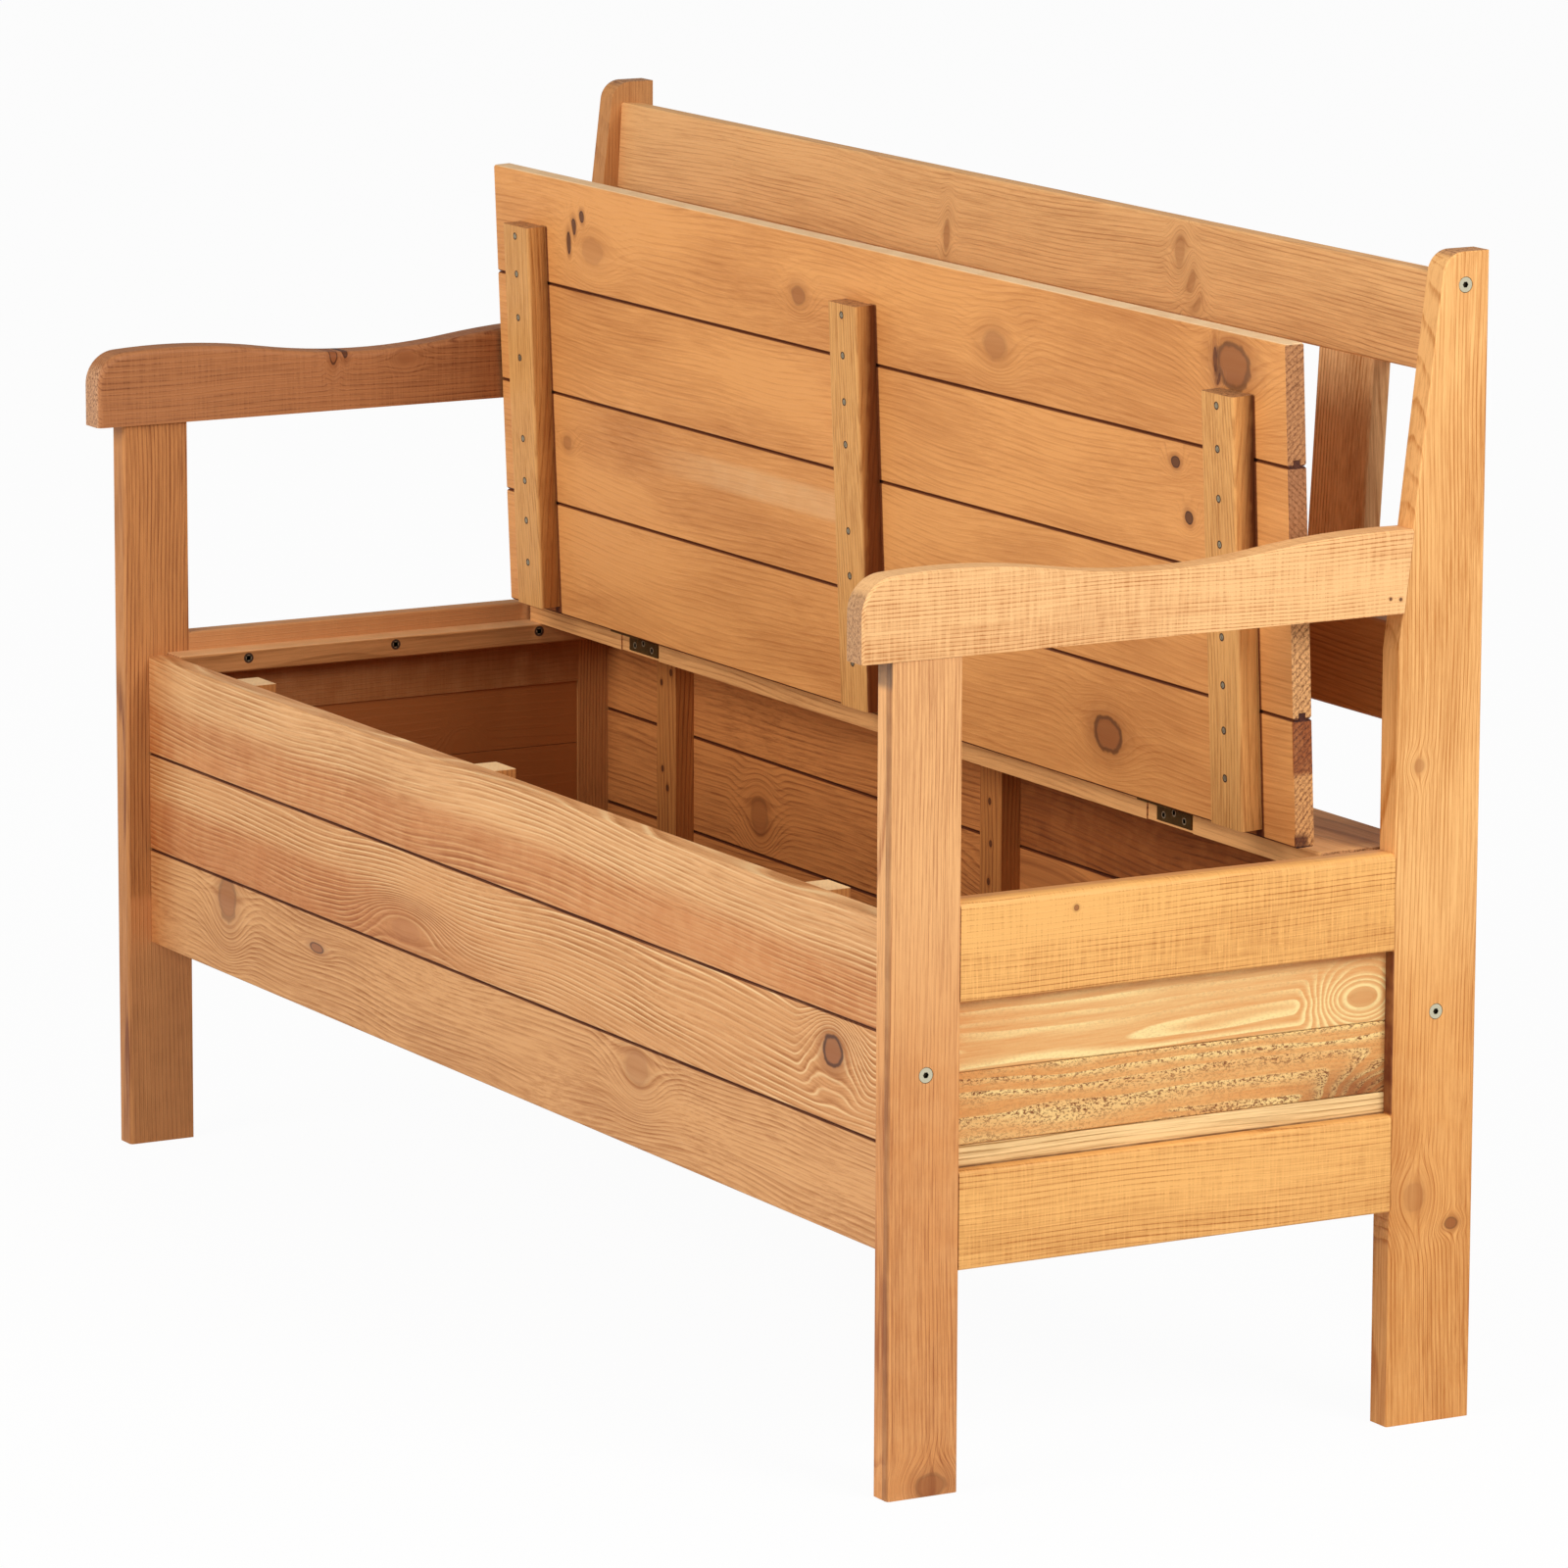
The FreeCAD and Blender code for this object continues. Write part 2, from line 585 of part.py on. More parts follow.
# butt hinges: each leaf is a plate with rolled knuckles, three on the bench and two on the lid
def hinge_leaf(label, x, side, knuckles):
    """Makes one leaf about the hinge's own axis: side 1 behind the axis, -1 in front of it."""
    leaf = doc.addObject("PartDesign::Body", label)
    leaf.setExpression(".Placement.Base.x", size(x))
    plate = new_sketch(leaf, "XZ_Plane", "-lid_edge" if side > 0 else "leaf_offset")
    rectangle(plate, "-leaf_width / 2", "leaf_width / 2", "-leaf_drop", "-leaf_shoulder")
    pad(leaf, plate, "leaf_thickness")
    start = "-(%d * knuckle_pitch - knuckle_gap) / 2" % (2 * knuckles - 1)
    neck = new_sketch(leaf, "YZ_Plane", start)
    rectangle(neck, "%d * leaf_offset" % side, "%d * lid_edge" % side, "-leaf_shoulder", "0")
    neck_pad = pad(leaf, neck, "knuckle_pitch - knuckle_gap")
    barrel = new_sketch(leaf, "YZ_Plane", start)
    circle(barrel, "0", "0", "knuckle_radius")
    barrel_pad = pad(leaf, barrel, "knuckle_pitch - knuckle_gap")
    doc.recompute()
    row = leaf.newObject("PartDesign::LinearPattern", "Knuckles")
    row.Originals = [neck_pad, barrel_pad]
    row.Direction = (barrel, ["N_Axis"])
    row.Occurrences = knuckles
    row.setExpression("Length", size("%d * 2 * knuckle_pitch" % (knuckles - 1)))
    leaf.Tip = row
    bore = new_sketch(leaf, "YZ_Plane")
    circle(bore, "0", "0", "pin_radius + pin_clearance")
    cut(leaf, bore)
    return leaf


def gather(label, pieces, y="hinge_y", z="hinge_z", angle=None):
    """Groups alike pieces into one node, placed together."""
    group = node(doc.addObject("Part::Compound", label))
    group.Links = pieces
    if angle:
        lean(group, angle)
    put(group, "0", y, z)
    return group


gather("hinge_leaves_frame", [hinge_leaf("frame_leaf_%d" % number, x, 1, 3)
                              for number, x in enumerate(BOTH_HINGES, 1)])
gather("hinge_leaves_lid", [hinge_leaf("lid_leaf_%d" % number, x, -1, 2)
                            for number, x in enumerate(BOTH_HINGES, 1)], angle="lid_open_angle")
pins = []
for number, x in enumerate(BOTH_HINGES, 1):
    pin = doc.addObject("PartDesign::Body", "pin_%d" % number)
    pin.setExpression(".Placement.Base.x", size(x))
    shaft = new_sketch(pin, "YZ_Plane")
    circle(shaft, "0", "0", "pin_radius")
    pad(pin, shaft, "leaf_width - knuckle_gap", both=True)
    for end in (-1, 1):
        head = new_sketch(pin, "YZ_Plane", "%d * (leaf_width - knuckle_gap) / 2" % end)
        circle(head, "0", "0", "pin_head_radius")
        pad(pin, head, "pin_head_height", back=end < 0)
    pins.append(pin)
gather("hinge_pins", pins)


# leg bolts: one is turned about Z with its head at the origin, and copies are set into the legs
bolt = doc.addObject("PartDesign::Body", "leg_bolt")
profile = new_sketch(bolt, "XZ_Plane")
polygon(profile, (("0", "0"), ("bolt_head", "0"), ("bolt_head", "-bolt_head_height"),
                  ("bolt_radius", "-bolt_head_height"), ("bolt_radius", "-bolt_length"),
                  ("0", "-bolt_length")))
turning = bolt.newObject("PartDesign::Revolution", "Turning")
turning.Profile = profile
turning.ReferenceAxis = (profile, ["V_Axis"])
turning.Angle = 360
socket = new_sketch(bolt, "XY_Plane")
polygon(socket, [("bolt_socket * cos(%d)" % angle, "bolt_socket * sin(%d)" % angle)
                 for angle in range(30, 390, 60)])
cut(bolt, socket, "bolt_head_height / 2")
copies = []
for side_name, side in SIDES:
    for y, z in (("front_recess + wall_thickness / 2", "front_bolt_z"),
                 ("back_wall_front + wall_thickness / 2", "rear_bolt_z"), ("top_bolt_y", "top_bolt_z")):
        copy = doc.addObject("App::Link", "Bolt")
        copy.LinkedObject = bolt
        copy.Placement = FreeCAD.Placement(Vector(), FreeCAD.Rotation(Vector(0, 1, 0), 90 * side))
        copy.setExpression(".Placement.Base.x", size("%d * (half_width - bolt_sunk)" % side))
        copy.setExpression(".Placement.Base.y", size(y))
        copy.setExpression(".Placement.Base.z", size(z))
        copies.append(copy)
gather("leg_bolts", copies, y="0", z="0")

# backrest: two rails and seven slats in one leaning plane, the slats tenoned into the rails
LOWER_Y = "back_face_y - back_rail_spacing * sin(back_lean_angle)"
LOWER_Z = "back_top_centre - back_rail_spacing * cos(back_lean_angle)"
for name, y, z, edge in (("back_top_rail", "back_face_y", "back_top_centre", -1),
                         ("back_lower_rail", LOWER_Y, LOWER_Z, 1)):
    rail = node(new_body(name, y=y, z=z, angle="back_lean_angle"))
    section = new_sketch(rail, "YZ_Plane")
    rectangle(section, "0", "back_rail_thickness", "-back_rail_height / 2", "back_rail_height / 2")
    pad(rail, section, "2 * inner_half", both=True)
    ease(rail, "back_arris", *[along("X", face, level) for face in ("YMin", "YMax")
                               for level in ("ZMin", "ZMax")], rounded=False)
    mortise = new_sketch(rail, "XY_Plane", "%d * back_rail_height / 2" % edge)
    rectangle(mortise, "-3 * slat_pitch - tenon_width / 2 - tenon_play",
              "-3 * slat_pitch + tenon_width / 2 + tenon_play",
              "back_rail_thickness / 2 - tenon_thickness / 2 - tenon_play",
              "back_rail_thickness / 2 + tenon_thickness / 2 + tenon_play")
    first = cut(rail, mortise, "tenon_length + tenon_play", back=edge < 0)
    row = rail.newObject("PartDesign::LinearPattern", "Mortises")
    row.Originals = [first]
    row.Direction = (mortise, ["H_Axis"])
    row.Occurrences = 7
    row.setExpression("Length", size("6 * slat_pitch"))
    rail.Tip = row
for number in range(1, 8):
    slat = node(new_body("back_slat_%d" % number, "%d * slat_pitch" % (number - 4), LOWER_Y, LOWER_Z,
                         "back_lean_angle"))
    face = new_sketch(slat, "XZ_Plane", "-(back_rail_thickness + slat_thickness) / 2")
    rectangle(face, "-slat_width / 2", "slat_width / 2", "back_rail_height / 2",
              "back_rail_height / 2 + slat_length")
    pad(slat, face, "slat_thickness")
    ease(slat, "back_arris", *[along("Z", edge, face) for edge in ("XMin", "XMax")
                               for face in ("YMin", "YMax")], rounded=False)
    tenon = new_sketch(slat, "XY_Plane", "back_rail_height / 2 - tenon_length")
    rectangle(tenon, "-tenon_width / 2", "tenon_width / 2", "back_rail_thickness / 2 - tenon_thickness / 2",
              "back_rail_thickness / 2 + tenon_thickness / 2")
    pad(slat, tenon, "slat_length + 2 * tenon_length")

# every object is checked before its solid is written
doc.recompute()
for thing in doc.Objects:
    if "Invalid" in thing.State or "Error" in thing.State:
        raise ValueError("%s did not build" % thing.Label)
os.makedirs("parts", exist_ok=True)
for thing in nodes:
    shape = thing.Shape
    if shape.isNull() or not shape.isValid() or shape.Volume <= 0:
        raise ValueError("%s has no sound solid" % thing.Label)
    shape.exportStep("parts/%s.step" % thing.Label)
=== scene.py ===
import math

import bmesh
import bpy
from mathutils import Matrix, Vector


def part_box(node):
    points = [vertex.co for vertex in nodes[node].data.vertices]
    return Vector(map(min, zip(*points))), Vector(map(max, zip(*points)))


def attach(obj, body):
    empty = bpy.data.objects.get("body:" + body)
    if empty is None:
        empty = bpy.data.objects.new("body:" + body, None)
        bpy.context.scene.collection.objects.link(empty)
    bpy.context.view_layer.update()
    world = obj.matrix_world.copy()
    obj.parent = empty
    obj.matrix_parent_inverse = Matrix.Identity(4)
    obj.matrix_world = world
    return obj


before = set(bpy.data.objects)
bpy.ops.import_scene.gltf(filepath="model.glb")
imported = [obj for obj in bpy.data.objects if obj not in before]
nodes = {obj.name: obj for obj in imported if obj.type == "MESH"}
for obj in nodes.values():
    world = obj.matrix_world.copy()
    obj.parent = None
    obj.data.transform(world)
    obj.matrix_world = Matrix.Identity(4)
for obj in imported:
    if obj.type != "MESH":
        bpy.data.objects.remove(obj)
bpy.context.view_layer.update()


# Studio: a sheet of white paper under the bench and behind it, as for a catalogue.
# The camera looks down a little on the bench's right-hand end, through a long lens,
# so the long sides hardly taper. A soft lamp stands off that end, another in front.
# film and lens in mm, sight and place in m, turns in degrees
CAMERA_FILM, CAMERA_LENS, CAMERA_SIGHT = 36, 198.56, 60
CAMERA_PLACE = Vector((5.9997, -3.3491, 1.7298))
CAMERA_ROUND, CAMERA_DOWN, CAMERA_ROLL = 60.53, 10.91, 0.2
camera = bpy.data.objects.new("camera", bpy.data.cameras.new("camera"))
bpy.context.scene.collection.objects.link(camera)
bpy.context.scene.camera = camera
camera.data.sensor_width = CAMERA_FILM
camera.data.lens = CAMERA_LENS
camera.data.clip_end = CAMERA_SIGHT
camera.matrix_world = (Matrix.Translation(CAMERA_PLACE)
                       @ Matrix.Rotation(math.radians(CAMERA_ROUND), 4, "Z")
                       @ Matrix.Rotation(math.radians(90 - CAMERA_DOWN), 4, "X")
                       @ Matrix.Rotation(math.radians(CAMERA_ROLL), 4, "Z"))


def linear(colour):
    """Turns an sRGB hex colour into the linear colour that a shader takes."""
    levels = [int(colour[k:k + 2], 16) / 255 for k in (1, 3, 5)]
    return [v / 12.92 if v <= 0.04045 else ((v + 0.055) / 1.055) ** 2.4 for v in levels] + [1]


def new_material(name):
    """Starts a material, and gives it and its empty node tree."""
    material = bpy.data.materials.new(name)
    material.use_nodes = True
    material.node_tree.nodes.clear()
    return material, material.node_tree


def add(tree, kind, settings=None, links=None, output=None):
    """Adds a shader node with its settings and links; gives its named or first enabled output."""
    made = tree.nodes.new("ShaderNode" + kind)
    for name, value in (settings or {}).items():
        if isinstance(name, str) and hasattr(made, name):
            setattr(made, name, value)
        else:
            made.inputs[name].default_value = value
    for socket, source in (links or {}).items():
        tree.links.new(source, made.inputs[socket])
    if output:
        return made.outputs[output]
    return next((socket for socket in made.outputs if socket.enabled), None)


# Matt white paper: it keeps a faint shadow, and the eye sees hardly anything else of it.
WHITE = (1, 1, 1, 1)
PAPER_GLOW, PAPER_REACH = 0.96, 40
paper, tree = new_material("white_backdrop_paper")
seen = tree.nodes.new("ShaderNodeLightPath")
matt = add(tree, "BsdfDiffuse", {"Color": linear("#E2E0DE")})
glow = add(tree, "Emission", {"Color": WHITE, "Strength": 1.0})
direct = add(tree, "Math", {"operation": "MAXIMUM"},
             {0: seen.outputs["Is Camera Ray"], 1: seen.outputs["Is Glossy Ray"]})
share = add(tree, "Math", {"operation": "MULTIPLY", 1: PAPER_GLOW}, {0: direct})
surface = add(tree, "MixShader", links={0: share, 1: matt, 2: glow})
add(tree, "OutputMaterial", links={"Surface": surface})
sheet = bmesh.new()
bmesh.ops.create_grid(sheet, x_segments=1, y_segments=1, size=PAPER_REACH)
floor = bpy.data.objects.new("floor", bpy.data.meshes.new("floor"))
sheet.to_mesh(floor.data)
sheet.free()
floor.data.materials.append(paper)
bpy.context.scene.collection.objects.link(floor)

# Even light from all round, past which the camera sees plain white.
ROOM_LIGHT = 0.36
world = bpy.data.worlds.new("studio")
bpy.context.scene.world = world
world.use_nodes = True
tree = world.node_tree
tree.nodes.clear()
seen = tree.nodes.new("ShaderNodeLightPath")
direct = add(tree, "Math", {"operation": "MAXIMUM"},
             {0: seen.outputs["Is Camera Ray"], 1: seen.outputs["Is Transmission Ray"]})
level = add(tree, "MapRange", {"To Min": ROOM_LIGHT, "To Max": 1.0}, {"Value": direct})
sky = add(tree, "Background", {"Color": WHITE}, {"Strength": level})
add(tree, "OutputWorld", links={"Surface": sky})
bpy.context.scene.view_settings.view_transform = "Standard"

# where the lamps point, and each one's place and width in m and power in watts
LAMP_AIM = Vector((0.1, 0, 0.45))
LAMPS = (("end_lamp", (3.1, 0.7, 2.3), 1.4, 74), ("front_lamp", (1.0, -6.0, 3.2), 3.2, 285))
for name, place, width, power in LAMPS:
    lamp = bpy.data.objects.new(name, bpy.data.lights.new(name, "AREA"))
    lamp.data.size = width
    lamp.data.energy = power
    lamp.location = place
    lamp.rotation_euler = (LAMP_AIM - Vector(place)).to_track_quat("-Z", "Y").to_euler()
    bpy.context.scene.collection.objects.link(lamp)


# The four legs: planed planks on edge, the front two straight and the rear two raked
# from the seat up. They are of stained pine, and bolts hold them to the long walls. The right
# legs' colours are paler than the left's, partly in tone and partly as painted light from the
# lamp at the right-hand end.
GRAIN_TURNS = {"X": (0, -90, 0), "Y": (90, 0, 0), "Z": (0, 0, 0)}
KNOT_EYE, KNOT_RIM, KNOT_HALO = "#8E5028", "#4A2410", "#8A4A1E"
FLECK, WORN_AND_LIT_RIDGE, CUT_RING = "#7E4620", "#F4CC94", "#58290F"
# how many times a pattern repeats in a mm, both ways across the grain and then along it
LOG_BEND, YEAR_WIDTH = (0.005, 0.005, 0.0024), (0.045, 0.045, 0.005)
LINE_FADE, CLOUDS = (0.035, 0.035, 0.006), (0.016, 0.016, 0.0035)
FIBRES, TEARS = (0.5, 0.5, 0.014), (0.6, 0.6, 0.35)
SAW_CUTS, SAW_SKIPS = (0.03, 0.03, 0.6), (0.2, 0.2, 0.3)
KNOT_EDGES, PATCHES, PORES = (0.09, 0.09, 0.09), (0.05, 0.05, 0.05), 0.4
# how far through a year its dark line ends, and the pale ridge after it peaks and ends
WINTER, RIDGE_PEAK, RIDGE_END = 0.9, 0.12, 0.36
# nearly all of a noise lies in the first range, and most of it in the second
NOISE, NOISE_MIDDLE = {"From Min": 0.3, "From Max": 0.7}, {"From Min": 0.36, "From Max": 0.64}
SMOOTH, TIMES = {"interpolation_type": "SMOOTHSTEP"}, {"operation": "MULTIPLY"}
# a mix of colours, and the numbers of its sockets for the one under and the one over it
BLEND, UNDER, OVER = {"data_type": "RGBA"}, 6, 7


def stained_pine(name, grain, heart, ring, light, dark, lines=0.5, late=0.4, fibre=1.0, sway=8.0,
                 wave=1.0, ridges=0.0, sawn=0.0, specks=0.0, mottle=1.0, ends="#CE9462", knots=(),
                 stains=(), marks=()):
    """Pine from a log whose heart lies parallel to the grain, through a point given in mm.

    The eye sees pale spring wood with narrow darker autumn lines, straight where the heart
    is far to the side of a face and arched where it is near behind, fibres about 1 mm wide,
    and a satin honey stain, which has sunk in darker where the ends are cut across.

    light, dark and ends are the colours of spring wood, autumn lines and wood cut across.
    ring is a year's growth and sway is how far the log wanders, both in mm. late is how far
    through a year the dark line starts, and wave is how much of a year the lines ripple. The
    others are strengths: lines, fibre, mottle of the broad clouds, ridges of pale lines, worn and
    partly a painted highlight, sawn of the bandsaw's cross marks about 2 mm apart, and specks of
    a torn surface's flecks.
    A knot is (centre, reach, darkness, rings), dead if its darkness is 1. A stain, which the
    grain shows through, or a mark, which hides it, is (colour, strength, ranges), with each
    range (axis, start, end).
    """
    material, tree = new_material(name)
    place = add(tree, "TexCoord", output="Object")
    mm = add(tree, "VectorMath", {**TIMES, 1: (1000, 1000, 1000)}, {0: place})
    straight = mm
    # round each knot the grain parts, and a few years' rings close in a swirl
    eyes, swirls = [], None
    if knots:
        uneven = add(tree, "VectorMath", {**TIMES, 1: KNOT_EDGES}, {0: mm})
        uneven = add(tree, "TexNoise", {"Scale": 1.0, "Detail": 2.0}, {"Vector": uneven})
        uneven = add(tree, "MapRange", {**NOISE, "To Min": 0.91, "To Max": 1.09}, {"Value": uneven})
    for centre, reach, darkness, swirl in knots:
        away = add(tree, "VectorMath", {"operation": "SUBTRACT", 1: centre}, {0: mm})
        sized = add(tree, "VectorMath", {"operation": "DIVIDE", 1: reach}, {0: away})
        far = add(tree, "VectorMath", {"operation": "LENGTH"}, {0: sized})
        pull = add(tree, "MapRange", {"interpolation_type": "SMOOTHERSTEP", "From Min": 0.3,
                                      "From Max": 3.4, "To Min": 0.9, "To Max": 0.0},
                   {"Value": far})
        moved = add(tree, "VectorMath", TIMES, {0: away, 1: pull})
        mm = add(tree, "VectorMath", {"operation": "SUBTRACT"}, {0: mm, 1: moved})
        eyes.append((add(tree, "Math", TIMES, {0: far, 1: uneven}), darkness))
        rings = add(tree, "MapRange", {**SMOOTH, "From Min": 0.8, "From Max": 4.2,
                                       "To Min": swirl, "To Max": 0.0}, {"Value": far})
        swirls = rings if swirls is None else add(tree, "Math", {"operation": "ADD"},
                                                  {0: swirls, 1: rings})
    log = add(tree, "VectorMath", {"operation": "SUBTRACT", 1: heart}, {0: mm})
    turn = [math.radians(angle) for angle in GRAIN_TURNS[grain]]
    log = add(tree, "Mapping", {"Rotation": turn}, {"Vector": log})
    # the log bends slowly along its length, and its years differ in width
    bend = add(tree, "Mapping", {"Scale": LOG_BEND}, {"Vector": log})
    bend = add(tree, "TexNoise", {"Scale": 1.0, "Detail": 1.6}, {"Vector": bend}, "Color")
    bend = add(tree, "VectorMath", {"operation": "MULTIPLY_ADD", 1: (4 * sway, 4 * sway, 0),
                                    2: (-2 * sway, -2 * sway, 0)}, {0: bend})
    bent = add(tree, "VectorMath", {"operation": "ADD"}, {0: log, 1: bend})
    across = add(tree, "VectorMath", {**TIMES, 1: (1, 1, 0)}, {0: bent})
    across = add(tree, "VectorMath", {"operation": "LENGTH"}, {0: across})
    years = add(tree, "Math", {"operation": "DIVIDE", 1: ring}, {0: across})
    wobble = add(tree, "Mapping", {"Scale": YEAR_WIDTH}, {"Vector": log})
    wobble = add(tree, "TexNoise", {"Scale": 1.0, "Detail": 2.0}, {"Vector": wobble})
    years = add(tree, "Math", {"operation": "MULTIPLY_ADD", 1: wave}, {0: wobble, 2: years})
    if swirls:
        years = add(tree, "Math", {"operation": "ADD"}, {0: years, 1: swirls})
    # the dark line sets in softly and ends sharply, at winter
    part = add(tree, "Math", {"operation": "FRACT"}, {0: years})
    rise = add(tree, "MapRange", {**SMOOTH, "From Min": late, "From Max": WINTER}, {"Value": part})
    fall = add(tree, "MapRange", {**SMOOTH, "From Min": WINTER, "From Max": 1.0, "To Min": 1.0,
                                  "To Max": 0.0}, {"Value": part})
    autumn = add(tree, "Math", TIMES, {0: rise, 1: fall})
    # lines fade in and out along the board, under fibres and broad clouds of stain
    fade = add(tree, "Mapping", {"Scale": LINE_FADE, "Location": (7, 3, 5)}, {"Vector": log})
    fade = add(tree, "TexNoise", {"Scale": 1.0, "Detail": 2.0}, {"Vector": fade})
    fade = add(tree, "MapRange", {**NOISE_MIDDLE, "To Min": 0.25 * lines, "To Max": 1.45 * lines},
               {"Value": fade})
    depth = add(tree, "Math", TIMES, {0: autumn, 1: fade})
    fibres = add(tree, "Mapping", {"Scale": FIBRES}, {"Vector": bent})
    fibres = add(tree, "TexNoise", {"Scale": 1.0, "Detail": 5.0, "Roughness": 0.75},
                 {"Vector": fibres})
    streak = add(tree, "MapRange", {**NOISE, "To Min": -0.4 * fibre, "To Max": 0.4 * fibre},
                 {"Value": fibres})
    depth = add(tree, "Math", {"operation": "ADD"}, {0: depth, 1: streak})
    cloud = add(tree, "Mapping", {"Scale": CLOUDS}, {"Vector": log})
    cloud = add(tree, "TexNoise", {"Scale": 1.0, "Detail": 4.0}, {"Vector": cloud})
    cloud = add(tree, "MapRange", {**NOISE, "To Min": -0.05 * mottle, "To Max": 0.35 * mottle},
                {"Value": cloud})
    depth = add(tree, "Math", {"operation": "ADD"}, {0: depth, 1: cloud})
    if sawn:
        # the bandsaw's cuts skip from place to place, and show most on the dark lines
        cuts = add(tree, "Mapping", {"Scale": SAW_CUTS}, {"Vector": log})
        cuts = add(tree, "TexNoise", {"Scale": 1.0, "Detail": 1.0}, {"Vector": cuts})
        cuts = add(tree, "MapRange", {"From Min": 0.34, "From Max": 0.66, "To Min": -1.1,
                                      "To Max": 1.1}, {"Value": cuts})
        skips = add(tree, "Mapping", {"Scale": SAW_SKIPS}, {"Vector": log})
        skips = add(tree, "TexNoise", {"Scale": 1.0, "Detail": 2.0}, {"Vector": skips})
        skips = add(tree, "MapRange", {**NOISE_MIDDLE, "To Min": 0.3 * sawn, "To Max": 1.3 * sawn},
                    {"Value": skips})
        on_lines = add(tree, "Math", {"operation": "MULTIPLY_ADD", 1: 0.9, 2: 0.6}, {0: autumn})
        skips = add(tree, "Math", TIMES, {0: skips, 1: on_lines})
        depth = add(tree, "Math", {"operation": "MULTIPLY_ADD"}, {0: cuts, 1: skips, 2: depth})
    depth = add(tree, "Math", {"operation": "MAXIMUM", 1: 0.0, "use_clamp": True}, {0: depth})
    colour = add(tree, "Mix", {**BLEND, UNDER: linear(light), OVER: linear(dark)}, {0: depth})
    height = add(tree, "Math", {"operation": "MULTIPLY_ADD", 1: 0.5}, {0: autumn, 2: fibres})
    if specks:
        torn = add(tree, "Mapping", {"Scale": TEARS}, {"Vector": log})
        torn = add(tree, "TexNoise", {"Scale": 1.0, "Detail": 3.0, "Roughness": 0.8},
                   {"Vector": torn})
        torn = add(tree, "MapRange", {"From Min": 0.48, "From Max": 0.6, "To Max": specks},
                   {"Value": torn})
        on_lines = add(tree, "Math", {"operation": "MULTIPLY_ADD", 1: 1.1, 2: 0.3}, {0: autumn})
        torn = add(tree, "Math", {**TIMES, "use_clamp": True}, {0: torn, 1: on_lines})
        colour = add(tree, "Mix", {**BLEND, OVER: linear(FLECK)}, {0: torn, UNDER: colour})
    if ridges:
        # spring wood is brushed away after each hard line, whose edge stands up and wears pale; its
        # paleness is partly a painted highlight of the lit ridge
        up = add(tree, "MapRange", {**SMOOTH, "From Min": 0.0, "From Max": RIDGE_PEAK},
                 {"Value": part})
        down = add(tree, "MapRange", {**SMOOTH, "From Min": RIDGE_PEAK, "From Max": RIDGE_END,
                                      "To Min": 1.0, "To Max": 0.0}, {"Value": part})
        worn_and_lit = add(tree, "Math", TIMES, {0: up, 1: down})
        worn_and_lit = add(tree, "Math", TIMES, {0: worn_and_lit, 1: fade})
        worn_and_lit = add(tree, "Math", {**TIMES, 1: ridges / lines, "use_clamp": True}, {0: worn_and_lit})
        colour = add(tree, "Mix", {**BLEND, OVER: linear(WORN_AND_LIT_RIDGE)}, {0: worn_and_lit, UNDER: colour})
        height = add(tree, "Math", {"operation": "ADD"}, {0: height, 1: worn_and_lit})
    # where the board is cut across, the rings show as close dark lines in browner wood
    end_on = [float(axis == grain) for axis in "XYZ"]
    cut = add(tree, "VectorMath", {"operation": "DOT_PRODUCT", 1: end_on},
              {0: add(tree, "TexCoord", output="Normal")})
    cut = add(tree, "Math", {"operation": "ABSOLUTE"}, {0: cut})
    cut = add(tree, "MapRange", {**SMOOTH, "From Min": 0.72, "From Max": 0.95, "To Max": 0.85},
              {"Value": cut})
    pores = add(tree, "TexNoise", {"Scale": PORES, "Detail": 4.0, "Roughness": 0.8},
                {"Vector": mm})
    pores = add(tree, "MapRange", {"From Min": 0.45, "From Max": 0.64, "To Min": 0.0,
                                   "To Max": 0.9}, {"Value": pores})
    pores = add(tree, "Math", {"operation": "MULTIPLY_ADD", 1: 0.42, "use_clamp": True},
                {0: autumn, 2: pores})
    end_grain = add(tree, "Mix", {**BLEND, UNDER: linear(ends), OVER: linear(CUT_RING)},
                    {0: pores})
    colour = add(tree, "Mix", BLEND, {0: cut, UNDER: colour, OVER: end_grain})
    # each knot has a halo, an eye and a rim, at distances in its own reach
    for far, darkness in eyes:
        halo = add(tree, "MapRange", {**SMOOTH, "From Min": 0.9, "From Max": 2.2,
                                      "To Min": 0.5 * darkness, "To Max": 0.0}, {"Value": far})
        colour = add(tree, "Mix", {**BLEND, OVER: linear(KNOT_HALO)}, {0: halo, UNDER: colour})
        inside = add(tree, "MapRange", {**SMOOTH, "From Min": 0.75, "From Max": 0.95,
                                        "To Min": 0.12 + 0.7 * darkness, "To Max": 0.0},
                     {"Value": far})
        heartwood = linear(KNOT_EYE if darkness < 1 else KNOT_RIM)
        colour = add(tree, "Mix", {**BLEND, OVER: heartwood}, {0: inside, UNDER: colour})
        rim = add(tree, "Math", {"operation": "SUBTRACT", 1: 0.92}, {0: far})
        rim = add(tree, "Math", {"operation": "ABSOLUTE"}, {0: rim})
        rim = add(tree, "MapRange", {**SMOOTH, "From Min": 0.04, "From Max": 0.2,
                                     "To Min": darkness ** 2, "To Max": 0.0}, {"Value": rim})
        colour = add(tree, "Mix", {**BLEND, OVER: linear(KNOT_RIM)}, {0: rim, UNDER: colour})
    if stains or marks:
        parts = tree.nodes.new("ShaderNodeSeparateXYZ")
        tree.links.new(straight, parts.inputs[0])
        patches = add(tree, "VectorMath", {**TIMES, 1: PATCHES}, {0: straight})
        patches = add(tree, "TexNoise", {"Scale": 1.0, "Detail": 4.0}, {"Vector": patches})
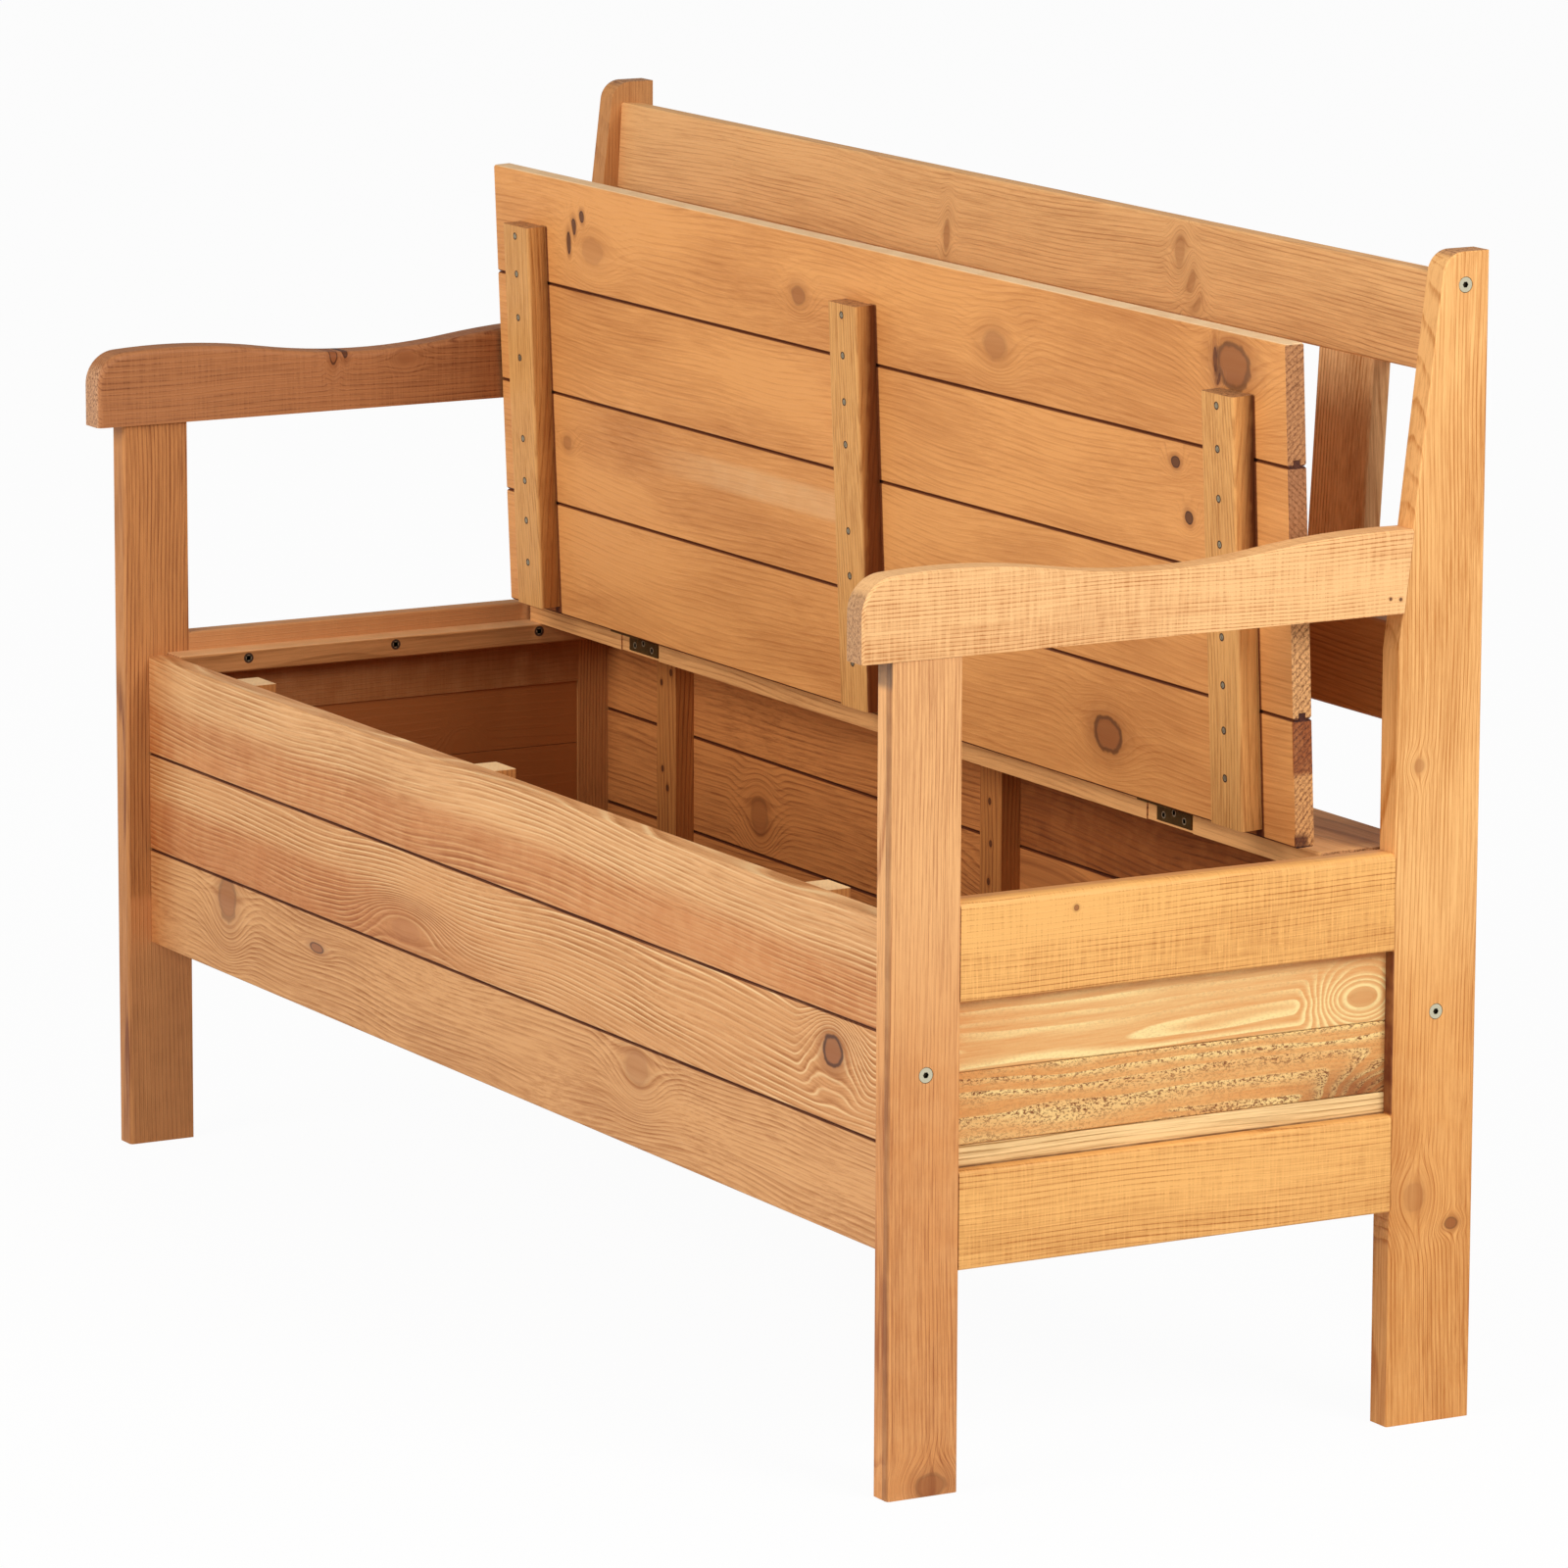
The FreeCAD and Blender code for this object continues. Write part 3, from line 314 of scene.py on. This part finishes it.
        patches = add(tree, "MapRange", {"From Min": 0.4, "From Max": 0.6, "To Min": 0.78,
                                         "To Max": 1.0}, {"Value": patches})
    layers = [("MULTIPLY", stain) for stain in stains] + [("MIX", mark) for mark in marks]
    for blend, (paint, strength, ranges) in layers:
        mask = patches
        for axis, start, end in ranges:
            within = add(tree, "MapRange", {**SMOOTH, "From Min": start, "From Max": end,
                                            "To Min": 0.0, "To Max": 1.0},
                         {"Value": parts.outputs[axis]})
            mask = add(tree, "Math", TIMES, {0: mask, 1: within})
        mask = add(tree, "Math", {**TIMES, 1: strength, "use_clamp": True}, {0: mask})
        colour = add(tree, "Mix", {**BLEND, "blend_type": blend, OVER: linear(paint)},
                     {0: mask, UNDER: colour})
    relief = add(tree, "Bump", {"Strength": 0.5, "Distance": 0.0005}, {"Height": height})
    sheen = add(tree, "MapRange", {**NOISE, "To Min": 0.46, "To Max": 0.64}, {"Value": fibres})
    shader = add(tree, "BsdfPrincipled", {"IOR": 1.5, "Specular IOR Level": 0.3},
                 {"Base Color": colour, "Roughness": sheen, "Normal": relief})
    add(tree, "OutputMaterial", links={"Surface": shader})
    return material


def finish(node, material):
    """Gives a node its material."""
    for slot in nodes[node].material_slots:
        slot.material = material


def plank(node, *wood, **figure):
    """Gives a node its own stained pine, from the log and with the figure that are given."""
    finish(node, stained_pine("pine_" + node, *wood, **figure))


# in mm: a knot's reach where it runs right through a plank, and the legs' outer sides
THROUGH, LEG_SIDE = 200, 665
leg_front = ("Y", -243.4, -244.6)
# Painted shade on this leg: it darkens towards the bottom, a dark line runs down its front face
# beside the rounded corner, and a dark patch lies on it just under the armrest.
plank("front_leg_right", "Z", (640, -560, 0), 3.2, "#E9AE72", "#A9683A", lines=0.42, late=0.65,
      fibre=1.3, sway=5, knots=[((LEG_SIDE, -208, 8), (THROUGH, 13, 10), 0.55, 2)],
      stains=[("#E8D2BA", 0.9, [("Z", 480, 260)])],
      marks=[("#7E4E2A", 0.6, [("X", 656, 658.5), leg_front]),
             ("#5C4C40", 0.75, [("Z", 606, 614), leg_front])])
# Painted light: this leg's inner face is paler low down, where light comes up off the floor.
plank("front_leg_left", "Z", (-640, -560, 0), 3.8, "#C6854C", "#824822", lines=0.62, late=0.55,
      fibre=1.3, sway=5, marks=[("#E0985E", 0.6, [("Z", 224, 212), ("Y", -244, -242)])])
# Painted shade on this leg: it darkens towards the bottom, and its front face is dark in the recess
# beside the side panel.
plank("rear_leg_right", "Z", (640, -120, 0), 3.6, "#EEB470", "#BA7432", lines=0.5, late=0.6,
      fibre=1.2, mottle=1.8,
      knots=[((LEG_SIDE, 217, 178), (THROUGH, 11, 14), 0.2, 2),
             ((LEG_SIDE, 251, 154), (THROUGH, 6, 4.5), 0.7, 1),
             ((LEG_SIDE, 215, 512), (THROUGH, 5, 6), 0.25, 1)],
      stains=[("#F2E2CC", 0.9, [("Z", 420, 300)])],
      marks=[("#6A3216", 1.0, [("Y", 196, 195.4), ("Z", 243, 246), ("Z", 372, 370)])])
plank("rear_leg_left", "Z", (-640, -120, 0), 3.4, "#C6884E", "#965C2E", lines=0.5, fibre=1.4)


# Side rails, side panels and lid ledges: boards that run from leg to leg at each end.
# The rails are rough from the bandsaw. The panels sit back in grooves between them, and
# the ledges are screwed on inside, where the stain has gone on thicker and darker.
# wood and lines of the rails and of the upper, middle and narrow boards: on the upper and
# the middle one the lines have worn paler than the wood between them. The right end's
# colours are paler than the left's, partly in tone and partly as painted light from the lamp
# at that end.
END_COLOURS = {"left": (("#D89C62", "#9A6230"), ("#C68A56", "#E4C08C"), ("#C48852", "#E0B87E"),
                        ("#E0B480", "#946434")),
               "right": (("#EFB367", "#AD6726"), ("#DC9A5A", "#F6D896"), ("#D99552", "#F4D08A"),
                         ("#F6D094", "#A87A40"))}
for side, way in (("left", -1), ("right", 1)):
    rail, upper, middle, strip = END_COLOURS[side]
    end_x = LEG_SIDE * way
    rail_back = ("X", 656.5 * way, 650 * way)
    inside = ("#A2602C", 0.8, [rail_back, ("Z", 426, 420)])
    over_ledge = ("#C68A56", 0.95, [rail_back, ("Z", 424, 428)])
    nail, upper_knots, middle_knots = [], [], []
    if side == "right":
        nail = [((end_x, -86, 433), (THROUGH, 2.2, 2.2), 0.8, 0)]
        upper_knots = [((end_x, 174, 336), (THROUGH, 15, 9), 0.05, 8)]
        middle_knots = [((end_x, 226, 250), (THROUGH, 28, 13), 0.2, 6)]
    else:
        upper_knots = [((-645, 81, 326), (5, 7, 7), 0.8, 3), ((-645, 167, 345), (5, 9, 2), 0.9, 0)]
    plank("side_top_rail_" + side, "Y", (end_x, 0, 780), 4.2, *rail, lines=0.5, late=0.7, sway=4,
          fibre=0.6, wave=0.7, sawn=0.2, knots=nail, marks=[inside, over_ledge])
    plank("side_bottom_rail_" + side, "Y", (end_x, 0, -240), 4.4, *rail, lines=0.45, late=0.65,
          sway=5, fibre=0.7, sawn=0.14, marks=[inside])
    inside = ("#AE6832", 1.3, [("X", 651 * way, 648 * way)])
    # the upper board's warm, darker band just under the top rail is painted shade
    plank("side_panel_upper_" + side, "Y", (end_x - 18 * way, 0, 330), 8, *upper, lines=0.8,
          late=0.25, fibre=0.5, sway=10, wave=1.6, specks=0.12, knots=upper_knots,
          stains=[("#E0A878", 1.0, [("Z", 364, 371)])], marks=[inside])
    plank("side_panel_middle_" + side, "Y", (end_x - 30 * way, 0, 262), 11, *middle, lines=0.9,
          late=0.2, fibre=0.5, sway=13, wave=2.4, specks=0.8, mottle=0.8, knots=middle_knots,
          stains=[("#9A6640", 0.9, [("Y", 90, 170), ("Z", 292, 262)])], marks=[inside])
    plank("side_panel_strip_" + side, "Y", (end_x, 0, -200), 4.4, *strip, lines=0.75, late=0.65,
          sway=3, marks=[inside, ("#6E4220", 0.9, [("Z", 245.8, 244.9)])])
    # the ledges' top faces are paler, a painted highlight
    plank("lid_ledge_" + side, "Y", (0, 0, 240), 3.6, "#C98C54", "#96602F", lines=0.4,
          marks=[("#E4B07A", 0.9, [("Z", 429.8, 430.2)])])


# Front wall, back wall, battens and floor of the box: tongued boards the whole length, with
# battens nailed upright inside. The front boards are brushed, so their hard autumn lines
# stand up, worn pale and partly with a painted highlight. The back boards, the battens and
# the floor are stained darker.
TONGUE = 5
# the colour and strength of the dark joints, also used for the painted shadow lines beside the
# lid's battens
SEAM_AND_SHADOW, SEAM_AND_SHADOW_DEPTH = "#806050", 1.6


def seams(name, reach):
    """The dark lines where stain has run into a board's joints, above and below it."""
    lo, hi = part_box(name)
    low, high = lo[2] * 1000, hi[2] * 1000 - TONGUE
    found = []
    if "bottom" not in name:
        found.append((SEAM_AND_SHADOW, SEAM_AND_SHADOW_DEPTH, [("Z", low + reach, low + 0.4 * reach)]))
    if "top" not in name and not name.endswith("_4"):
        found.append((SEAM_AND_SHADOW, SEAM_AND_SHADOW_DEPTH, [("Z", high - reach, high - 0.4 * reach)]))
    return found


# where the knots and nails come out: on the front wall, the back wall and its battens
FRONT_FACE, BACK_FACE, BATTEN_FACE = -223, 225, 207
near_leg = ("#DFC4AA", 0.9, [("X", -560, -641)])
# Painted shade: the top front board darkens towards its lower edge, and the middle one low down
# towards its left end.
painted_low_shade = "#E2C4AC"
plank("front_board_top", "X", (0, -180, 700), 5, "#E3AB72", "#B1743F", lines=0.5, late=0.5, sway=11,
      wave=0.8, ridges=0.85, mottle=1.5, fibre=1.1,
      stains=[near_leg, (painted_low_shade, 0.9, [("Z", 402, 376)])] + seams("front_board_top", 1.4))
plank("front_board_middle", "X", (0, -150, 520), 4.6, "#D99D64", "#A96A35", lines=0.55, late=0.5,
      sway=18, wave=0.9, ridges=0.75, specks=0.1, fibre=1.1,
      knots=[((-158, FRONT_FACE, 278), (30, THROUGH, 10), 0.1, 4),
             ((543, FRONT_FACE, 315), (15, THROUGH, 12), 0.95, 5)],
      stains=[near_leg, (painted_low_shade, 0.9, [("Z", 318, 296), ("X", 100, -300)])]
      + seams("front_board_middle", 1.4))
plank("front_board_bottom", "X", (0, -120, -120), 4.2, "#D79D64", "#A46634", lines=0.4, sway=18,
      wave=1.1, ridges=0.15, fibre=1.2, mottle=1.3,
      knots=[((-492, FRONT_FACE, 243), (17, THROUGH, 20), 0.6, 3),
             ((237, FRONT_FACE, 241), (20, THROUGH, 15), 0.3, 3),
             ((-322, FRONT_FACE, 232), (13, THROUGH, 4), 0.9, 1)],
      stains=[near_leg] + seams("front_board_bottom", 1.4))
for row, heart in (("top", 620), ("middle", 80), ("bottom", 40)):
    name = "back_board_" + row
    knots, stains = [], seams(name, 1.6)
    if row == "top":
        # painted shadow: the inside face is darker right of the middle, under the seat's edge
        stains.append(("#BCA898", 1.1, [("X", 45, 55), ("Y", 232, 228)]))
    if row == "middle":
        knots = [((-368, BACK_FACE, 294), (15, THROUGH, 17), 0.5, 3),
                 ((107, BACK_FACE, 322), (60, THROUGH, 16), 0.0, 5)]
    plank(name, "X", (0, 260, heart), 6, "#CC8446", "#884A20", lines=0.4, sway=12, fibre=1.2,
          knots=knots, stains=stains)
NAILS = {"left": [(-494, 401), (-511, 390), (-509, 314), (-500, 298)],
         "middle": [(48, 380), (50, 345), (47, 313)], "right": [(502, 372), (508, 330)]}
for step, row in enumerate(("left", "middle", "right")):
    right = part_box("front_batten_" + row)[1][0] * 1000
    plank("front_batten_" + row, "Z", (right + 90, 0, 70 * step), 3.4, "#BF7F42", "#8A5022",
          marks=[("#F2CC96", 0.9, [("Z", 427.9, 428.3)])])
    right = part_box("back_batten_" + row)[1][0] * 1000
    plank("back_batten_" + row, "Z", (right + 120, 0, 70 * step), 3.6, "#BC7A3E", "#84491D",
          knots=[((x, BATTEN_FACE, z), (2.2, THROUGH, 2.8), 1.0, 0) for x, z in NAILS[row]])
plank("floor_cleats", "Y", (0, 0, 90), 5, "#A8662F", "#7C4119")
for step in range(1, 5):
    plank(f"floor_board_{step}", "X", (40 * step, 60 * step, 90), 5, "#A8662F", "#7C4119")


# Seat: a fixed board at the rear, and in front of it the lid, four tongued boards held
# together by three battens that are screwed on underneath. The lid is sanded smooth, with
# faint figure, and its front edge is worn pale.
HINGE_PIN, LID_TURN = (0, 0.1427, 0.4487), -87.6
LID_OPEN = Matrix.Translation(HINGE_PIN) @ Matrix.Rotation(math.radians(LID_TURN), 4, "X")
# in mm from the pin: the closed lid's rear edge, in front of it, and its underside
HINGE_GAP, LID_UNDERSIDE = 3.8, -17.9


def lid_point(x, from_rear):
    """Places a point of the closed lid's underside, in mm from its rear edge, where it is open."""
    closed = Vector((x / 1000, -(HINGE_GAP + from_rear) / 1000, LID_UNDERSIDE / 1000))
    return tuple(1000 * v for v in LID_OPEN @ closed)


# for each knot: across, from the lid's rear edge, half width, half height and darkness
LID_KNOTS = {"lid_board_4": [(-501, 331, 3.5, 9, 1.0), (-491, 346, 4, 7, 1.0),
                             (-476, 356, 4, 5, 1.0), (537, 361, 2.5, 9, 1.0),
                             (541, 348, 3, 4, 1.0), (-459, 328, 22, 13, 0.2),
                             (-102, 333, 11, 8, 0.5), (211, 331, 18, 12, 0.35),
                             (562, 359, 24, 18, 0.8)],
             "lid_board_3": [(477, 274, 6, 4.5, 1.0), (494, 233, 5.5, 5, 1.0)],
             "lid_board_2": [(-518, 155, 8, 6, 0.4)],
             "lid_board_1": [(367, 44, 21, 14, 0.85)]}
LID_HEARTS = {"lid_board_1": (0, 330, 320), "lid_board_2": (0, 350, 380),
              "lid_board_3": (0, -60, 460), "lid_board_4": (0, 300, 600)}
LID_ENDS = {"lid_board_1": "#D2985E", "lid_board_2": "#DCA66C", "lid_board_3": "#A06C4A",
            "lid_board_4": "#B07A50"}
# the battens' right-hand edges, beside which a dark line on the lid is painted shadow
LID_SHADOW_EDGES = (-543.5, 22.5, 588.5)
for name, heart in LID_HEARTS.items():
    lo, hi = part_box(name)
    middle, front, end = 500 * (lo[1] + hi[1]), 1000 * hi[2], 1000 * hi[0]
    underside, at_end = ("Y", middle + 3, middle - 3), ("X", end - 2, end - 0.5)
    knots = [(lid_point(x, h), (wide, THROUGH, tall), darkness, 3)
             for x, h, wide, tall, darkness in LID_KNOTS[name]]
    stains, marks = seams(name, 1.9), []
    for x in LID_SHADOW_EDGES:
        beside = [("X", x + 4, x + 1.5), ("X", x - 10, x - 5), ("Z", 793, 790), underside]
        stains.append((SEAM_AND_SHADOW, SEAM_AND_SHADOW_DEPTH, beside))
    if name == "lid_board_1":
        stains += [("#B48A70", 1.1, [at_end, ("Z", 505, 511)]),
                   ("#84665A", 1.1, [at_end, ("Z", 465, 459), ("Y", 137, 134)])]
    if name == "lid_board_2":
        low, high = lid_point(0, 148)[2], lid_point(0, 180)[2]
        marks = [("#F0C48E", 0.4, [("Z", low, low + 8), ("Z", high, high - 8), ("X", -400, -200),
                                   ("X", -30, -60), underside])]
    if name == "lid_board_4":
        marks = [("#F6D2A2", 0.85, [("Z", front - 1.6, front - 0.6)])]
    plank(name, "X", heart, 4.2, "#E9A35D", "#AE672E", lines=0.18, late=0.5, fibre=0.6, sway=12,
          wave=0.5, mottle=1.5, ends=LID_ENDS[name], knots=knots, stains=stains, marks=marks)
# Painted light: the rear seat board's colours are made paler where the open lid shades it.
plank("rear_seat_board", "X", (0, 100, 800), 5, "#ECAE6C", "#B87C46", lines=0.4)
# Painted shade on each lid batten's right-hand side, darker towards the lid, and on the right one
# only above the armrest's height: its colour, and how far back in mm it reaches full strength
BATTEN_SIDE_SHADOWS = {"left": ("#D0B8A4", 124), "middle": ("#94705A", 112), "right": ("#7C5C48", 120)}
for step, (row, (shadow, reach)) in enumerate(BATTEN_SIDE_SHADOWS.items()):
    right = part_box("lid_batten_" + row)[1][0] * 1000
    beside = [("X", right - 1.2, right - 0.4), ("Y", 97, reach)]
    if row == "right":
        beside.append(("Z", 620, 660))
    plank("lid_batten_" + row, "Z", (right + 150, 0, 90 * step), 3.4, "#E2A660", "#A6672C",
          lines=0.3, fibre=1.3, wave=0.5, stains=[(shadow, 1.6, beside)])


# Screws of the lid's battens and of the ledges: countersunk heads of zinc-plated steel with
# a crossed recess, driven in flush, each in a dark ring of crushed pine that also paints the
# shade of its countersunk hole.
def piece_mesh(made, name):
    """Turns a finished bmesh into a mesh, with its faces pointing outwards."""
    bmesh.ops.recalc_face_normals(made, faces=made.faces)
    mesh = bpy.data.meshes.new(name)
    made.to_mesh(mesh)
    made.free()
    return mesh


def extruded(made, edges):
    """Extrudes edges in place, and gives the new vertices."""
    grown = bmesh.ops.extrude_edge_only(made, edges=edges)["geom"]
    return [item for item in grown if isinstance(item, bmesh.types.BMVert)]


def crossed_screw(radius):
    """A countersunk screw head with a crossed recess, its face on z = 0 and its cone below."""
    head = bmesh.new()
    bmesh.ops.create_grid(head, x_segments=3, y_segments=3, size=0.6 * radius)
    rim = [edge for edge in head.edges if edge.is_boundary]
    middles = [(face, face.calc_center_median()) for face in head.faces]
    cross = [face for face, middle in middles if min(abs(middle.x), abs(middle.y)) < 0.1 * radius]
    sunk = bmesh.ops.extrude_face_region(head, geom=cross)["geom"]
    bmesh.ops.delete(head, geom=cross, context="FACES_ONLY")
    sunk = [item for item in sunk if isinstance(item, bmesh.types.BMVert)]
    bmesh.ops.translate(head, vec=(0, 0, -0.4 * radius), verts=sunk)
    ring = bmesh.ops.create_circle(head, cap_ends=False, segments=16, radius=radius)["verts"]
    ring_edges = [edge for edge in head.edges if all(vert in ring for vert in edge.verts)]
    bmesh.ops.bridge_loops(head, edges=rim + ring_edges)
    cone = extruded(head, ring_edges)
    bmesh.ops.translate(head, vec=(0, 0, -0.5 * radius), verts=cone)
    bmesh.ops.scale(head, vec=(0.5, 0.5, 1), verts=cone)
    return piece_mesh(head, "screw")


def countersink(radius):
    """A dark ring round a screw head: crushed pine, and painted shade of its countersunk hole."""
    seat = bmesh.new()
    bmesh.ops.create_circle(seat, cap_ends=False, segments=16, radius=radius)
    inner = extruded(seat, seat.edges[:])
    bmesh.ops.scale(seat, vec=(0.6, 0.6, 1), verts=inner)
    return piece_mesh(seat, "countersink")


def screws(name, pattern, places, material, body):
    """Sets one screw in each place, given as a matrix, and makes them one piece on a body."""
    group = bmesh.new()
    for place in places:
        before = len(group.verts)
        group.from_mesh(pattern)
        group.verts.ensure_lookup_table()
        bmesh.ops.transform(group, matrix=place, verts=group.verts[before:])
    made = bpy.data.objects.new(name, bpy.data.meshes.new(name))
    group.to_mesh(made.data)
    group.free()
    bpy.context.scene.collection.objects.link(made)
    made.data.materials.append(material)
    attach(made, body)
    return made


# Zinc-plated steel: a pale straw-coloured metal, dulled by handling in spots about 1 mm wide.
ZINC_SPOTS = (900, 900, 900)
zinc, tree = new_material("zinc_plated_steel")
dull = add(tree, "VectorMath", {**TIMES, 1: ZINC_SPOTS},
           {0: add(tree, "TexCoord", output="Object")})
dull = add(tree, "TexNoise", {"Scale": 1.0, "Detail": 3.0}, {"Vector": dull})
tone = add(tree, "Mix", {**BLEND, UNDER: linear("#D6CCAE"), OVER: linear("#9A8E70")}, {0: dull})
shader = add(tree, "BsdfPrincipled", {"Metallic": 0.7, "Roughness": 0.42}, {"Base Color": tone})
add(tree, "OutputMaterial", links={"Surface": shader})

# Round each screw: the countersink's crushed fibres, dark with stain, and the painted shade
# of its hole.
hole_shade, tree = new_material("crushed_pine_and_hole_shade")
shader = add(tree, "BsdfPrincipled", {"Base Color": linear("#4A2C16"), "Roughness": 0.7})
add(tree, "OutputMaterial", links={"Surface": shader})

FACE_DOWN = Matrix.Rotation(math.radians(180), 4, "X")
# the battens' middles and undersides in m, and the screws from the lid's rear edge in mm
BATTEN_MIDDLES, BATTEN_UNDERSIDE = (-0.566, 0, 0.566), -0.03602
SCREW_ROWS = (45, 82, 117, 154, 225, 260, 298, 331)
batten_screws = [LID_OPEN @ Matrix.Translation((x, -(HINGE_GAP + h) / 1000, BATTEN_UNDERSIDE))
                 @ FACE_DOWN for x in BATTEN_MIDDLES for h in SCREW_ROWS]
screws("lid_batten_screws", crossed_screw(0.0022), batten_screws, zinc, "lid")
seats = screws("lid_batten_screw_seats", countersink(0.0032), batten_screws, hole_shade, "lid")
LEDGE_SIDE, LEDGE_MIDDLE, LEDGE_HOLES = 0.61788, 0.424, (-0.14, 0.002, 0.143)
ledge_screws = [Matrix.Translation((way * LEDGE_SIDE, y, LEDGE_MIDDLE))
                @ Matrix.Rotation(math.radians(-90 * way), 4, "Y")
                for way in (-1, 1) for y in LEDGE_HOLES]
screws("ledge_screws", crossed_screw(0.0034), ledge_screws, zinc, "bench")
seats = screws("ledge_screw_seats", countersink(0.0046), ledge_screws, hole_shade, "bench")


# Two butt hinges of bronzed steel, let in between the fixed board and the lid, each with
# three small screws in a leaf. The bronzing has worn to a paler brown in patches about
# 5 mm wide.
BRONZE_PATCHES = (220, 220, 220)
bronze, tree = new_material("bronzed_steel")
wear = add(tree, "VectorMath", {**TIMES, 1: BRONZE_PATCHES},
           {0: add(tree, "TexCoord", output="Object")})
wear = add(tree, "TexNoise", {"Scale": 1.0, "Detail": 5.0}, {"Vector": wear})
tone = add(tree, "Mix", {**BLEND, UNDER: linear("#4A3A20"), OVER: linear("#7A6034")}, {0: wear})
gloss = add(tree, "MapRange", {"To Min": 0.4, "To Max": 0.6}, {"Value": wear})
shader = add(tree, "BsdfPrincipled", {"Metallic": 0.85}, {"Base Color": tone, "Roughness": gloss})
add(tree, "OutputMaterial", links={"Surface": shader})
for name in ("hinge_leaves_frame", "hinge_leaves_lid", "hinge_pins"):
    finish(name, bronze)
HINGE_X, LEAF_FACE = 0.430, 0.1449
LEAF_HOLES = ((-0.015, 0.438), (0, 0.442), (0.015, 0.438))
frame_screws = [Matrix.Translation((way * HINGE_X + x, LEAF_FACE, z))
                @ Matrix.Rotation(math.radians(90), 4, "X")
                for way in (-1, 1) for x, z in LEAF_HOLES]
screws("hinge_screws_frame", crossed_screw(0.0029), frame_screws, zinc, "bench")


# Backrest: a broad top rail and a lower rail of the same size between the raked legs,
# with seven upright slats let into them.
RAIL_FACE = 237
plank("back_top_rail", "X", (0, 150, 1250), 3.8, "#EBB172", "#BA7E4A", lines=0.42, late=0.55,
      sway=7, fibre=1.2, knots=[((-77, RAIL_FACE, 829), (5, THROUGH, 14), 0.4, 2),
                                ((281, RAIL_FACE, 857), (8, THROUGH, 13), 0.3, 2),
                                ((299, RAIL_FACE, 836), (7, THROUGH, 10), 0.35, 2),
                                ((309, RAIL_FACE, 820), (7, THROUGH, 8), 0.3, 2)])
plank("back_lower_rail", "X", (0, 150, 900), 5, "#BE7F45", "#8E5226", lines=0.4, sway=12)
SLAT_HEARTS = (120, -200, 150, -130, 180, -160, 90)
for step, aside in enumerate(SLAT_HEARTS, 1):
    lo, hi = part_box(f"back_slat_{step}")
    heart = ((lo[0] + hi[0]) * 500 + aside, 215, 130 * step)
    plank(f"back_slat_{step}", "Z", heart, 4.2, "#F2BE84", "#A8682F", lines=0.5, sway=9, mottle=1.5)


# Armrests: sawn to a long curve from thick boards, rounded over along the top, and set on
# the legs. Their flat sides keep the bandsaw's marks, and the nose shows torn end grain. The
# right armrest's colours are paler than the left's, partly in tone and partly as painted light
# from the lamp at that end.
RIGHT_ARM_SIDE, LEFT_ARM_SIDE = 666, -639
plank("armrest_right", "Y", (350, 0, 900), 1.9, "#EFBA7E", "#B26E34", lines=0.55, late=0.5, sway=4,
      sawn=0.19, fibre=0.7, wave=0.7, ends="#C8986C",
      knots=[((RIGHT_ARM_SIDE, 186, 642), (THROUGH, 1.2, 1.2), 1.0, 0),
             ((RIGHT_ARM_SIDE, 195, 641), (THROUGH, 1.2, 1.2), 1.0, 0)])
plank("armrest_left", "Y", (-350, 0, 900), 2.8, "#B57748", "#7C4422", lines=0.34, late=0.6, sway=4,
      sawn=0.16, fibre=0.9, ends="#DCA67A",
      knots=[((LEFT_ARM_SIDE, -46, 680), (THROUGH, 3.5, 10), 0.95, 2),
             ((LEFT_ARM_SIDE, -35, 682), (THROUGH, 3.5, 7), 1.0, 1),
             ((LEFT_ARM_SIDE, 24, 672), (THROUGH, 9, 6), 0.15, 1)])


# Leg bolts: flat zinc-plated heads sunk in the legs, with a hexagon socket that is dark
# with shadow and grease.
# in m from the bench's middle: dark up to the first, inside the socket, and bright from the
# second, just under the head's face
SOCKET_DARK, HEAD_BRIGHT = 0.6641, 0.6646
bolt, tree = new_material("zinc_plated_bolt")
parts = tree.nodes.new("ShaderNodeSeparateXYZ")
tree.links.new(add(tree, "TexCoord", output="Object"), parts.inputs[0])
out = add(tree, "Math", {"operation": "ABSOLUTE"}, {0: parts.outputs["X"]})
sunk = add(tree, "MapRange", {"From Min": SOCKET_DARK, "From Max": HEAD_BRIGHT}, {"Value": out})
tone = add(tree, "Mix", {**BLEND, UNDER: linear("#2E2618"), OVER: linear("#CFC8AC")}, {0: sunk})
shader = add(tree, "BsdfPrincipled", {"Metallic": 0.9, "Roughness": 0.35}, {"Base Color": tone})
add(tree, "OutputMaterial", links={"Surface": shader})
finish("leg_bolts", bolt)
